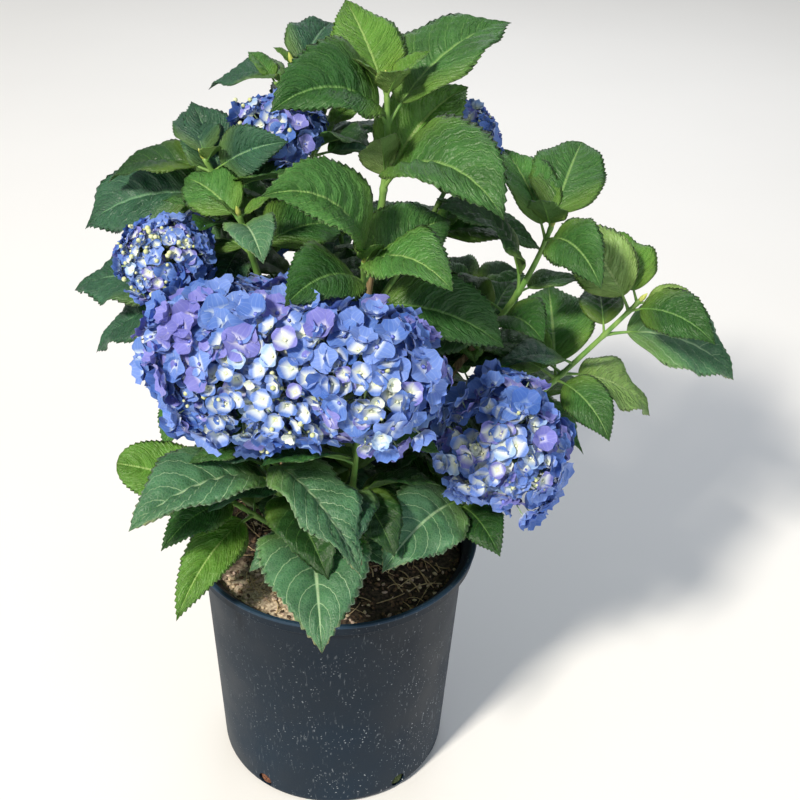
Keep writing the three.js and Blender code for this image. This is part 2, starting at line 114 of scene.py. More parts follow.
SHOOTS: dict[str, Shoot] = {
    "top_centre": Shoot(
        foot=(34, 12, 545), apex=(37, 10, 662), turn=20, leaf=112,
        below=(4, 14, 36, 88),
        posed={
            "1a": (113, 33, 25, 84), "1b": (-70, 45, 40, 40), "2a": (215, 17, 95, 106, -35),
            "2b": (36, 26, 60, 122), "3a": (-46, 7, 110, 124, 20), "3b": (42, 34, 60, 100, 30),
        },
    ),
    "front_centre": Shoot(
        side="cane_top", share=0.6, apex=(21, -70, 553), turn=95, leaf=98,
        below=(3, 10, 24, 54),
        posed={
            "0b": (-67, 47, 20, 34), "1a": (210, 43, 100, 112, -40), "1b": (-52, 14, 80, 94, 20),
            "2a": (44, 12, 60, 90, 20), "2b": (232, 12, 70, 86, -25), "3a": (-12, -11, 60, 104, 25),
            "3b": (150, -14, 60, 74),
        },
    ),
    "mid_left": Shoot(
        foot=(-45, -10, 440), apex=(-72, -40, 576), turn=200, leaf=92,
        below=(4, 12, 44),
        posed={
            "1a": (124, 3, 40, 80, -20), "1b": (287, -1, 60, 58, 10), "2a": (126, -19, 60, 74, -30),
            "2b": (40, -4, 60, 88, 25),
        },
    ),
    "left_back": Shoot(
        foot=(-60, 32, 470), apex=(-104, 40, 587), turn=-60, leaf=108,
        posed={
            "0b": (108, 14, 30, 62), "1a": (-30, 30, 30, 72, 70), "1b": (167, -12, 70, 84, -10),
            "2a": (118, 42, 40, 80), "2b": (163, -19, 60, 124, -40), "3a": (250, -25, 60, 70),
            "3b": (128, -30, 60, 80),
        },
    ),
    "right": Shoot(
        foot=(98, 0, 308), apex=(247, -10, 490), turn=61, leaf=104,
        below=(4, 14, 44, 96, 104, 150),
        posed={
            "0a": (-20, 2, 40, 50, 60), "0b": (99, 20, 30, 72), "1a": (-44, 1, 70, 74, 35),
            "1b": (136, 36, 50, 82, -55), "2a": (1, -21, 68, 115, 22), "2b": (87, 11, 40, 62, -10),
            "3a": (6, -30, 60, 88, 15), "3b": (135, -10, 60, 78, -40), "4a": (-52, -23, 70, 66, 30),
            "4b": (88, 22, 30, 92, -10), "5a": (60, -10, 60, 92), "5b": (190, -4, 60, 74),
        },
    ),
    "right_inner": Shoot(
        foot=(118, 15, 430), apex=(172, 10, 546), turn=66, leaf=98,
        below=(3, 14, 66, 96, 118),
        posed={
            "0a": (68, 23, 30, 88, 10), "0b": (-114, 46, 20, 50), "1a": (-68, -1, 80, 80, 35),
            "1b": (112, 30, 50, 84), "2a": (200, 48, 90, 112, -20), "2b": (20, 0, 40, 56),
            "3a": (-67, 13, 60, 66, 20), "3b": (216, -4, 60, 96, -20), "4a": (65, 16, 40, 64, 20),
        },
    ),
    "front_left_flower": Shoot(
        foot=(-40, -58, 320), apex=(-64, -84, 412), turn=220, leaf=122,
        below=(16, 32, 62),
        posed={
            "0a": (200, -4, 40, 50), "1a": (-52, -17, 70, 118, -12), "2a": (218, 6, 70, 124),
            "2b": (30, -12, 60, 90),
        },
    ),
    "right_flower": Shoot(
        foot=(84, -32, 285), apex=(112, -56, 324), turn=232, leaf=105,
        below=(8, 22),
        posed={"0a": (231, -2, 60, 104, -30), "1a": (-69, 4, 60, 74, 20), "1b": (150, 6, 60, 76)},
    ),
    "low_front": Shoot(
        side="cane_front", share=0.3, apex=(-24, -68, 300), turn=275, leaf=110,
        below=(5, 16),
        posed={
            "0a": (275, -1, 84, 136), "0b": (150, 30, 40, 34),
            "1a": (215, -6, 60, 60), "1b": (-30, -4, 60, 70),
        },
    ),
    "low_left": Shoot(
        side="cane_front_left", share=0.42, apex=(-90, -56, 325), turn=180, leaf=90,
        below=(4, 16, 30),
        posed={
            "0a": (180, 22, 25, 86, -45), "0b": (110, 20, 40, 50), "1a": (231, 7, 80, 88, -30),
            "1b": (160, -20, 60, 90), "2a": (238, -18, 70, 106, -20), "2b": (215, -40, 50, 60, -40),
        },
    ),
    "left_flower": Shoot(
        side="cane_left", share=0.66, apex=(-114, 6, 496), turn=157, leaf=104,
        below=(8, 16, 66),
        posed={
            "0a": (157, -13, 50, 110, -20), "0b": (-30, 20, 40, 50), "1a": (170, -33, 50, 104, -10),
            "1b": (240, -20, 50, 60), "2a": (205, -12, 70, 78),
        },
    ),
    "front_flower": Shoot(
        foot=(10, -62, 316), apex=(17, -105, 424), turn=280, leaf=100,
        below=(18, 72, 98),
        posed={
            "0a": (-20, 10, 40, 60), "1a": (-22, -46, 30, 64), "1b": (172, -30, 40, 74, -20),
            "2a": (128, -6, 60, 80), "2b": (26, 26, 60, 76),
        },
    ),
    "top_left": Shoot(
        foot=(-15, 78, 520), apex=(-36, 105, 643), turn=-15, leaf=102,
        posed={
            "0b": (160, 40, 20, 20), "1a": (72, 14, 40, 80, 15), "1b": (150, -16, 50, 82, -10),
            "2a": (62, -8, 62, 96), "2b": (182, -24, 70, 78), "3a": (20, -20, 70, 80),
        },
    ),
    "back_left_flower": Shoot(
        side="cane_top_left", share=0.8, apex=(-45, 50, 564), turn=60, leaf=92,
        below=(16, 40),
        posed={"1a": (119, 3, 40, 66, -30), "1b": (50, 14, 50, 58, 40)},
    ),
    "back_right_flower": Shoot(
        side="cane_top", share=0.72, apex=(94, 76, 552), turn=100, leaf=100,
        below=(16, 48, 72),
        posed={"0a": (60, 10, 50, 60), "0b": (300, 10, 50, 44), "1a": (8, -10, 60, 100, 10)},
    ),
    "back_mid_left": Shoot(
        side="cane_top_left", share=0.5, apex=(-70, 122, 512), turn=40, leaf=106,
        below=(4, 14, 42, 78),
        posed={"1b": (350, 22, 60, 66), "2a": (180, 24, 60, 84), "3a": (120, -30, 60, 80)},
    ),
    "back_mid_right": Shoot(
        side="cane_right_inner", share=0.72, apex=(124, 92, 436), turn=25, leaf=100,
        below=(4, 14, 38, 60),
        posed={
            "0a": (45, 1, 40, 66, 30), "0b": (107, 1, 40, 70, -20), "1b": (250, 20, 60, 60),
            "2a": (170, 6, 60, 90), "2b": (16, -14, 60, 80), "3b": (130, -30, 60, 90),
        },
    ),
    "back_centre": Shoot(
        foot=(12, 112, 360), apex=(4, 165, 462), turn=30, leaf=112,
        posed={"2a": (200, -6, 60, 100)},
    ),
    "rear_left_flower": Shoot(
        foot=(-72, 105, 335), apex=(-92, 142, 412), turn=60, leaf=105,
        below=(16, 40, 66),
    ),
    "rear_right_flower": Shoot(
        foot=(62, 108, 262), apex=(66, 160, 300), turn=40, leaf=105,
        below=(16, 42),
    ),
    "back_left_low": Shoot(
        side="cane_rear_left", share=0.5, apex=(-128, 112, 375), turn=100, leaf=104,
        below=(4, 14, 40, 72),
        posed={
            "1a": (190, 10, 40, 50), "1b": (80, 24, 60, 64), "2a": (240, -10, 60, 86),
            "3a": (140, -14, 60, 90), "3b": (190, -20, 76, 60),
        },
    ),
    "back_right_low": Shoot(
        side="cane_right_inner", share=0.45, apex=(168, 96, 362), turn=-5, leaf=108,
        below=(4, 14, 40, 72),
        posed={
            "1a": (60, 16, 50, 70), "1b": (-30, -4, 50, 60), "2b": (-32, -16, 60, 96),
            "3a": (20, -20, 60, 100), "3b": (50, -40, 50, 80),
        },
    ),
    "rear_low": Shoot(
        side="cane_back", share=0.4, apex=(-26, 184, 330), turn=110, leaf=105, below=(4, 14, 40),
    ),
}

HEADS: dict[str, Head] = {
    "head_front_left": Head(on="front_left_flower", centre=(-74, -91, 479), size=(66, 61), lean=(-30, -40)),
    "head_front": Head(on="front_flower", centre=(24, -140, 495), size=(51, 47), lean=(10, -50)),
    "head_right": Head(on="right_flower", centre=(134, -74, 390), size=(54, 51), lean=(25, -30)),
    "head_left": Head(on="left_flower", centre=(-131, -25, 529), size=(34, 29), lean=(-30, -35)),
    "head_back_left": Head(on="back_left_flower", centre=(-45, 54, 603), size=(34, 28), lean=(-15, 0)),
    "head_back_right": Head(on="back_right_flower", centre=(101, 84, 590), size=(33, 28), lean=(20, 10)),
    "head_rear_left": Head(on="rear_left_flower", centre=(-98, 155, 462), size=(52, 44), lean=(-20, 35)),
    "head_rear_right": Head(on="rear_right_flower", centre=(68, 186, 352), size=(50, 43), lean=(12, 40)),
}

COMPOST_CROWN = 231.0
SEAT = 0.3
# Middle of the compost's painted pool of sunlight, at the front left.
PAINTED_SUN_SPOT = (-62, -78)
FIRST_HEAD_SEED = 611
FIRST_SHOOT_SEED = 101

CANE_RADII = (4.8, 3.2)
SHOOT_RADII = (3.2, 1.9)
SIDE_SHOOT_SAG = 0.1
HEAD_STALK_BOW = 0.4
HEAD_STALK_RADIUS = 2.4

# A leaf's stalk, where its blade starts and its half width, as shares of its length, and its fold.
LEAF_STALK_SHARE = 0.16
BLADE_START = 0.14
HALF_WIDTH = 0.305
LEAF_FOLD = 14.0

# The leaf pairs' rule, from the apex down, and the seeded spread round it.
PAIR_SIZE = (0.3, 0.7, 1, 1, 0.9, 0.8)
PAIR_RISE = (38, 20, 6, -6, -16, -20)
PAIR_ARCH = (15, 40, 62, 76, 84, 84)
TURN_SPREAD, RISE_SPREAD, SIZE_SPREAD = 14, 8, 0.08

GOLDEN_TURN = math.pi * (3 - math.sqrt(5))
SWEEP_GUIDE = np.array((0.31, 0.93, 0.17))
PATCH_RANGE = (0.38, 0.64)


class Row:
    """A seeded row of numbers from 0 to 1, the same as the one that grew the solids."""

    def __init__(self, seed: int) -> None:
        """Start the row at a seed."""
        self.state = seed

    def next(self) -> float:
        """Return the next number."""
        self.state = (self.state * 1664525 + 1013904223) % 2**32
        return self.state / 2**32

    def span(self, low: float, high: float) -> float:
        """Return the next number, scaled to run from low to high."""
        return low + (high - low) * self.next()

    def spread(self, reach: float) -> np.ndarray:
        """Return the next three numbers, each scaled to run from -reach to reach."""
        return np.array([self.span(-reach, reach) for _ in range(3)])

    def pick(self, shares: dict) -> object:
        """Draw one of several things.

        Args:
            shares: the things, each with how often it comes up against the others.

        Returns:
            The thing that was drawn.
        """
        left = self.next() * sum(shares.values())
        for key, share in shares.items():
            left -= share
            if left <= 0:
                return key
        return key


class Bezier:
    """A quadratic curve through a foot and a tip, drawn towards a middle point."""

    def __init__(self, foot: np.ndarray, middle: np.ndarray, tip: np.ndarray) -> None:
        """Keep the three points."""
        self.foot, self.middle, self.tip = (np.array(p, float) for p in (foot, middle, tip))

    def at(self, share: float | np.ndarray) -> np.ndarray:
        """Return the point or points at a share of the way from foot to tip."""
        t = np.asarray(share, float)[..., None]
        return (1 - t) ** 2 * self.foot + 2 * t * (1 - t) * self.middle + t**2 * self.tip

    def heading(self, share: float) -> np.ndarray:
        """Return the unit direction at a share of the way."""
        return unit((1 - share) * (self.middle - self.foot) + share * (self.tip - self.middle))

    def length(self) -> float:
        """Return the curve's length."""
        points = self.at(np.linspace(0, 1, 201))
        return float(np.linalg.norm(np.diff(points, axis=0), axis=1).sum())

    def before_tip(self, distance: float) -> np.ndarray:
        """Return the point that lies a distance before the tip."""
        return self.at(1 - distance / self.length())


def unit(way: np.ndarray) -> np.ndarray:
    """Return a direction made one long."""
    return way / np.linalg.norm(way)


def around(radius: float, bearing: float, height: float = 0.0) -> np.ndarray:
    """Return the point at a distance and a bearing in radians from the upright axis."""
    return np.array((radius * math.cos(bearing), radius * math.sin(bearing), height))


def cane_curve(cane: Cane) -> Bezier:
    """Trace a cane, which rises straight out of the compost.

    Args:
        cane: the cane.

    Returns:
        Its middle line.
    """
    tip = np.array(SHOOTS[cane.carries].foot, float)
    root = around(cane.out, math.radians(cane.bearing), COMPOST_CROWN + SEAT)
    return Bezier(root, (root[0], root[1], (root[2] + tip[2]) / 2), tip)


def shoot_curve(shoot: Shoot) -> Bezier:
    """Trace a shoot from where it leaves its cane to its apex.

    Args:
        shoot: the shoot.

    Returns:
        Its middle line.
    """
    apex = np.array(shoot.apex, float)
    if shoot.side:
        foot = cane_curve(CANES[shoot.side]).at(shoot.share)
        middle = (foot + apex) / 2
        middle[2] -= np.linalg.norm(apex - foot) * SIDE_SHOOT_SAG
        return Bezier(foot, middle, apex)
    cane = next(one for one in CANES.values() if SHOOTS[one.carries] is shoot)
    foot = np.array(shoot.foot, float)
    middle = foot + cane_curve(cane).heading(1) * np.linalg.norm(apex - foot) / 2
    return Bezier(foot, middle, apex)


@dataclass
class Leaf:
    """One leaf's place and pose. Its midrib is an arc in an upright plane.

    slim scales its width, and widest holds the powers that shape its outline towards root and tip.
    """

    root: np.ndarray
    turn: float
    rise: float
    arch: float
    length: float
    roll: float = 0.0
    key: str = ""
    slim: float = 1.0
    widest: tuple[float, float] = (0.7, 1.2)

    def midrib(self, share: np.ndarray) -> tuple[np.ndarray, np.ndarray, np.ndarray, np.ndarray]:
        """Trace the midrib.

        Args:
            share: shares of the way from the leaf's root to its tip.

        Returns:
            Its points and, at each, the along, across and normal directions.
        """
        arch, rise, turn, roll = np.radians((self.arch, self.rise, self.turn, self.roll))
        start = rise + arch / 2
        heading = start - arch * share
        radius = self.length * (1 + LEAF_STALK_SHARE) / arch
        out = radius * (math.sin(start) - np.sin(heading))
        up = radius * (np.cos(heading) - math.cos(start))
        c, s = math.cos(turn), math.sin(turn)
        point = np.stack([out * c, out * s, up], -1) + self.root
        along = np.stack([np.cos(heading) * c, np.cos(heading) * s, np.sin(heading)], -1)
        level = np.broadcast_to(np.array((s, -c, 0.0)), along.shape)
        across = level * math.cos(roll) + np.cross(along, level) * math.sin(roll)
        return point, along, across, np.cross(across, along)

    def half_width(self, share: np.ndarray) -> np.ndarray:
        """Work out the outline of the blade.

        Args:
            share: shares of the way along the blade.

        Returns:
            Its half width at each, in millimetres.
        """
        low, high = self.widest
        peak = low / (low + high)
        top = peak**low * (1 - peak) ** high
        return HALF_WIDTH * share**low * (1 - share) ** high / top * self.length

    def sheet(self) -> tuple[np.ndarray, np.ndarray]:
        """Shape a coarse blade, to test what the leaf would cut through.

        Returns:
            Its points and its faces.
        """
        share = np.array((0.12, 0.3, 0.5, 0.7, 0.88, 1.0))
        point, _, across, normal = self.midrib(BLADE_START + (1 - BLADE_START) * share)
        width = self.half_width(share) * 0.92
        lift = math.tan(math.radians(LEAF_FOLD))
        rows = [point + across * (width * s)[:, None] + normal * (width * abs(s) * lift)[:, None]
                for s in (-1, 0, 1)]
        grid = np.stack(rows, 1).reshape(-1, 3)
        return grid, grid_faces(np.arange(len(grid)).reshape(len(share), 3), True)


def leaves_of(shoot: Shoot, seed: int) -> list[Leaf]:
    """Set leaves on a shoot: crossed pairs from the apex down, with a seeded spread.

    Args:
        shoot: the shoot.
        seed: where its row of numbers starts.

    Returns:
        The leaves, each with its pair and side as its key.
    """
    row = Row(seed)
    curve = shoot_curve(shoot)
    leaves = []
    for pair, below in enumerate(shoot.below):
        root = curve.before_tip(below)
        for side, half_turn in (("a", 0), ("b", 180)):
            turn, rise, size = 2 * row.spread(0.5)
            key = f"{pair}{side}"
            grown = (
                shoot.turn + 90 * pair + half_turn + TURN_SPREAD * turn,
                PAIR_RISE[pair] + RISE_SPREAD * rise,
                PAIR_ARCH[pair],
                shoot.leaf * PAIR_SIZE[pair] * (1 + SIZE_SPREAD * size),
            )
            leaves.append(Leaf(root, *shoot.posed.get(key, grown), key=key))
    return leaves


class MeshStore:
    """Gathers the vertices, faces, pattern coordinates and finishes of one joined piece."""

    def __init__(self) -> None:
        """Start empty."""
        self.points: list[np.ndarray] = []
        self.uvs: list[np.ndarray] = []
        self.faces: list[tuple[np.ndarray, int]] = []
        self.count = 0

    def add(self, points: np.ndarray, uv: np.ndarray, faces: Sequence[np.ndarray], *slots: int) -> None:
        """Add a part of the piece.

        Args:
            points: its vertices in millimetres.
            uv: the pattern's coordinates at each vertex.
            faces: arrays of faces, one row each.
            slots: the number of each array's finish, or one number for all of them.
        """
        self.points.append(points)
        self.uvs.append(uv)
        for rows, slot in zip(faces, slots if len(slots) > 1 else slots * len(faces)):
            self.faces.append((rows + self.count, slot))
        self.count += len(points)

    def add_posed(self, shape: Shape, pose: np.ndarray, spot: np.ndarray, slot: int) -> None:
        """Add a ready shape, turned and sized by a pose and set at a spot."""
        points, uv, faces = shape
        self.add(points @ pose.T + spot, uv, faces, slot)

    def add_limb(self, line: np.ndarray, radii: np.ndarray, sides: int, slot: int = 0) -> None:
        """Add a round limb along a line."""
        self.add(*sweep(line, radii, sides), slot)

    def build(self, name: str, materials: Sequence[bpy.types.Material],
              smooth: bool = True) -> bpy.types.Object:
        """Make the joined piece.

        Args:
            name: the object's name.
            materials: its finishes, in the order of the slot numbers.
            smooth: whether its faces are shaded smooth.

        Returns:
            The piece, with its object at the origin.
        """
        points = np.concatenate(self.points) * MM
        corners = np.concatenate([rows.ravel() for rows, _ in self.faces])
        totals = np.concatenate([np.full(len(rows), rows.shape[1]) for rows, _ in self.faces])
        slots = np.concatenate([np.full(len(rows), slot) for rows, slot in self.faces])
        mesh = bpy.data.meshes.new(name)
        mesh.vertices.add(len(points))
        mesh.vertices.foreach_set("co", points.ravel())
        mesh.loops.add(len(corners))
        mesh.loops.foreach_set("vertex_index", corners.astype(np.int32))
        mesh.polygons.add(len(totals))
        mesh.polygons.foreach_set("loop_start", (np.cumsum(totals) - totals).astype(np.int32))
        mesh.polygons.foreach_set("material_index", slots.astype(np.int32))
        layer = mesh.uv_layers.new(name="pattern")
        layer.data.foreach_set("uv", np.concatenate(self.uvs)[corners].ravel())
        for material in materials:
            mesh.materials.append(material)
        mesh.update(calc_edges=True)
        mesh.validate()
        if smooth:
            mesh.shade_smooth()
        piece = bpy.data.objects.new(name, mesh)
        bpy.context.scene.collection.objects.link(piece)
        return piece


def sweep(points: np.ndarray, radii: np.ndarray, sides: int) -> Shape:
    """Make a round limb along a line, closed by a cone at each end.

    Args:
        points: the middle line, one row a ring.
        radii: the radius of each ring.
        sides: how many sides a ring has.

    Returns:
        Its vertices, its pattern coordinates (round, along in millimetres) and its faces.
    """
    count = len(points)
    heading = np.gradient(points, axis=0)
    heading /= np.linalg.norm(heading, axis=1)[:, None]
    across = np.cross(SWEEP_GUIDE, heading)
    across /= np.linalg.norm(across, axis=1)[:, None]
    over = np.cross(heading, across)
    turn = (np.arange(sides) * 2 * math.pi / sides)[None, :, None]
    ring = across[:, None] * np.cos(turn) + over[:, None] * np.sin(turn)
    rings = points[:, None] + ring * np.asarray(radii)[:, None, None]
    vertices = np.concatenate([rings.reshape(-1, 3), points[:1], points[-1:]])
    j = np.arange(sides)
    k = (j + 1) % sides
    low = (np.arange(count - 1) * sides)[:, None]
    quads = np.stack([low + j, low + k, low + sides + k, low + sides + j], -1).reshape(-1, 4)
    foot = np.stack([k, j, np.full(sides, count * sides)], -1)
    last = (count - 1) * sides
    tip = np.stack([last + j, last + k, np.full(sides, count * sides + 1)], -1)
    travelled = np.concatenate([[0], np.cumsum(np.linalg.norm(np.diff(points, axis=0), axis=1))])
    uv = np.stack(np.broadcast_arrays(j[None] / sides, travelled[:, None]), -1).reshape(-1, 2)
    return vertices, np.concatenate([uv, [[0, 0], [0, travelled[-1]]]]), [quads, foot, tip]


def grid_faces(index: np.ndarray, upward: bool) -> np.ndarray:
    """Span a grid of vertices with four-sided faces.

    Args:
        index: the vertices' numbers, as rows of the grid.
        upward: whether the faces look up.

    Returns:
        The faces, one row each.
    """
    a, b, c, d = index[:-1, :-1], index[1:, :-1], index[1:, 1:], index[:-1, 1:]
    order = (a, b, c, d) if upward else (a, d, c, b)
    return np.stack(order, -1).reshape(-1, 4)


def linear(code: str, gain: float = 1.0) -> tuple[float, ...]:
    """Turn an sRGB hex colour to the linear values that a shader takes.

    Args:
        code: the colour, such as #5478c2.
        gain: how many times as bright it becomes.

    Returns:
        Red, green, blue and alpha.
    """
    parts = (int(code[i:i + 2], 16) / 255 for i in (1, 3, 5))
    values = (c / 12.92 if c <= 0.04045 else ((c + 0.055) / 1.055) ** 2.4 for c in parts)
    return *(min(1.0, value * gain) for value in values), 1.0


def per_mm(grain_mm: float) -> float:
    """Return the scale at which a pattern's patches are about grain_mm across on the piece."""
    return 1 / (grain_mm * MM)


class Kind(Enum):
    """The kinds of node in the finishes: type, settings, inputs in turn, and outgoing socket."""

    PLACE = ("TexCoord", {}, (), "Object")
    PATTERN = ("UVMap", {"uv_map": "pattern"}, (), 0)
    STRETCH = ("Mapping", {}, ("Vector", "Scale"), 0)
    SPLIT = ("SeparateXYZ", {}, (0,), 0)
    JOIN = ("CombineXYZ", {}, (0, 1, 2), 0)
    DISTANCE = ("VectorMath", {"operation": "DISTANCE"}, (0, 1), "Value")
    NOISE = ("TexNoise", {}, ("Vector", "Scale", "Detail"), "Fac")
    CELLS = ("TexVoronoi", {}, ("Vector", "Scale"), "Distance")
    CELL_EDGES = ("TexVoronoi", {"feature": "DISTANCE_TO_EDGE"}, ("Vector", "Scale"), "Distance")
    RANGE = ("MapRange", {}, (0, 1, 2, 3, 4), 0)
    MIX = ("Mix", {"data_type": "RGBA"}, (0, 6, 7), 2)
    BUMP = ("Bump", {}, ("Height", "Distance", "Strength"), "Normal")
    TIMES = ("Math", {"operation": "MULTIPLY"}, (0, 1), 0)
    PLUS = ("Math", {"operation": "ADD"}, (0, 1), 0)
    MINUS = ("Math", {"operation": "SUBTRACT"}, (0, 1), 0)
    MOST = ("Math", {"operation": "MAXIMUM"}, (0, 1), 0)
    BELOW = ("Math", {"operation": "LESS_THAN"}, (0, 1), 0)
    FOLD = ("Math", {"operation": "PINGPONG"}, (0, 1), 0)


class Surface:
    """A material in the making: one plain shader and the nodes that colour it."""

    def __init__(self, name: str, roughness: float, **sockets: object) -> None:
        """Start a material.

        Args:
            name: what it is called.
            roughness: how matt it is, from 0 to 1.
            sockets: values for the shader's other sockets, with _ for a space.
        """
        self.material = bpy.data.materials.new(name)
        self.material.use_nodes = True
        self.tree = self.material.node_tree
        self.shader = self.tree.nodes["Principled BSDF"]
        for key, value in {"Roughness": roughness, **sockets}.items():
            self.shader.inputs[key.replace("_", " ")].default_value = value

    def add(self, kind: Kind, *values: object) -> Socket:
        """Add a node with its settings and links.

        Args:
            kind: the kind of node.
            values: plain values or outgoing sockets for its inputs, in the kind's order.

        Returns:
            The outgoing socket that the kind names.
        """
        name, settings, inputs, output = kind.value
        node = self.tree.nodes.new(f"ShaderNode{name}")
        for key, value in settings.items():
            setattr(node, key, value)
        for key, value in zip(inputs, values):
            if isinstance(value, bpy.types.NodeSocket):
                self.tree.links.new(value, node.inputs[key])
            else:
                node.inputs[key].default_value = value
        return node.outputs[output]

    def wire(self, **sockets: Socket) -> bpy.types.Material:
        """Finish the material.

        Args:
            sockets: what to link to the shader's own sockets, with _ for a space.

        Returns:
            The material.
        """
        for key, value in sockets.items():
            self.tree.links.new(value, self.shader.inputs[key.replace("_", " ")])
        return self.material


class Tone(Enum):
    """The greens of the leaves, as (blade, vein, underside)."""

    YOUNG = ("#5f9136", "#9dbd6c", "#86a85c")
    BRIGHT = ("#4a803a", "#8fb468", "#7da35c")
    SUNLIT = ("#3f6f35", "#7fa55f", "#6c9553")
    MID = ("#31602a", "#6c9653", "#628a4c")
    DEEP = ("#254a22", "#52783e", "#4c7440")
    DUSTY = ("#4a7a55", "#a8c79b", "#6e9668")
    SHADE = ("#345f47", "#68926f", "#557f5f")
    BACKLIT = ("#86aa60", "#adc884", "#9ab874")


@dataclass(frozen=True)
class LeafFinish:
    """Hydrangea leaf: a waxy cuticle over quilted green tissue, so a satin face with pale veins.

    The cuticle gives a broad soft gloss, and the duller underside is paler and hairier. On dusty
    and deep leaves, the oldest, the veins show more than the puckers between them. The mesh of
    veinlets is drawn coarser than on a real leaf, so that it shows.
    """

    tone: Tone
    under: bool = False
    face_roughness: float = 0.44
    under_roughness: float = 0.66
    side_vein: tuple[float, float] = (0.01, 0.045)
    midrib: tuple[float, float] = (0.015, 0.045)
    margin: tuple[float, float] = (0.95, 1.0)
    mesh_mm: float = 2.6
    patch_mm: float = 22
    scorch_mm: float = 7
    drift_mm: float = 60
    wrinkles: float = 3.0
    unevenness: float = 2.6
    glow: str = "#86a63a"
    scorch: str = "#b3a878"

    def material(self) -> bpy.types.Material:
        """Lay out the finish on the leaf's own vein coordinates.

        Returns:
            The material.
        """
        blade, vein, pale = self.tone.value
        old = self.tone in (Tone.DUSTY, Tone.DEEP)
        side = "under" if self.under else "face"
        surface = Surface(
            f"leaf_{self.tone.name.lower()}_{side}",
            self.under_roughness if self.under else self.face_roughness, IOR=1.42,
            Subsurface_Weight=0.08, Subsurface_Radius=(0.4, 1.0, 0.2), Subsurface_Scale=0.002)
        node = surface.add
        place = node(Kind.PLACE)
        rib, edge = node(Kind.SPLIT, node(Kind.PATTERN)).node.outputs[:2]
        cells = node(Kind.CELL_EDGES, place, per_mm(self.mesh_mm))
        side_veins = node(Kind.RANGE, node(Kind.FOLD, rib, 0.5), *self.side_vein, 0.66 if old else 0.3, 0)
        midrib = node(Kind.RANGE, edge, *self.midrib, 0.9, 0)
        margin = node(Kind.RANGE, edge, *self.margin, 0, 0.5)
        lines = node(Kind.MOST, node(Kind.MOST, side_veins, midrib), margin)
        lines = node(Kind.MOST, lines, node(Kind.RANGE, cells, 0.0, 0.16, 0.1, 0))
        ridges = self.ridges(surface, rib, edge)
        # The darker green serves random patches and the painted shade in the creases.
        body, patch_and_crease_shade = (linear(pale if self.under else blade, gain) for gain in (1.0, 0.66))
        patches = node(Kind.RANGE, node(Kind.NOISE, place, per_mm(self.patch_mm), 3), 0.35, 0.68)
        colour = node(Kind.MIX, patches, body, patch_and_crease_shade)
        # Grooves between the puckers take the darker green: painted shade in the creases.
        colour = node(Kind.MIX, node(Kind.RANGE, ridges, 0.0, 0.6, 0.1 if old else 0.3, 0), colour, patch_and_crease_shade)
        colour = node(Kind.MIX, node(Kind.RANGE, rib, 0.3, 2.2, 0.3, 0), colour, linear(self.glow))
        colour = node(Kind.MIX, lines, colour, linear(vein))
        if self.tone is Tone.DUSTY:
            tip = node(Kind.TIMES, node(Kind.RANGE, edge, 0.84, 0.97), node(Kind.RANGE, rib, 4.4, 6.0))
            worn = node(Kind.RANGE, node(Kind.NOISE, place, per_mm(self.scorch_mm), 3), 0.46, 0.54)
            colour = node(Kind.MIX, node(Kind.TIMES, tip, worn), colour, linear(self.scorch))
        height = node(Kind.MINUS, node(Kind.TIMES, cells, 0.5), node(Kind.TIMES, lines, 0.4))
        height = node(Kind.PLUS, height, node(Kind.TIMES, ridges, 0.2 if old else 0.85))
        return surface.wire(Base_Color=colour, Normal=node(Kind.BUMP, height, 1.0 * MM, 0.8))

    def ridges(self, surface: Surface, rib: Socket, edge: Socket) -> Socket:
        """Lay out the puckers that run between the side veins.

        Args:
            surface: the leaf's material.
            rib: the pattern's coordinate that counts side veins.
            edge: the pattern's coordinate from midrib to margin.

        Returns:
            Their height, from 0 to 1.
        """
        node = surface.add
        drift = node(Kind.NOISE, node(Kind.PLACE), per_mm(self.drift_mm), 1)
        along, across = (node(Kind.TIMES, part, self.wrinkles) for part in (rib, edge))
        broken = node(Kind.NOISE, node(Kind.JOIN, along, across, node(Kind.TIMES, drift, 9.0)), 1.0, 2.0)
        phase = node(Kind.PLUS, along, node(Kind.TIMES, broken, self.unevenness))
        wave = node(Kind.TIMES, node(Kind.FOLD, phase, 0.5), 2.0)
        return node(Kind.TIMES, wave, node(Kind.RANGE, broken, 0.3, 0.6, 0.2, 1))


class Petal(Enum):
    """The colours of the florets, as (sepal, throat). The pale throat is partly the sepal's own paler heart
    and partly a painted highlight.
    """

    BLUE = ("#5478c2", "#cbdeee")
    PERIWINKLE = ("#6988d0", "#deebf4")
    VIOLET = ("#787bc8", "#dadcee")
    DEEP = ("#3d64b2", "#9ab6de")
    PALE = ("#95b4de", "#f0f6ee")
    CREAM = ("#d3dcd6", "#f0f1bc")


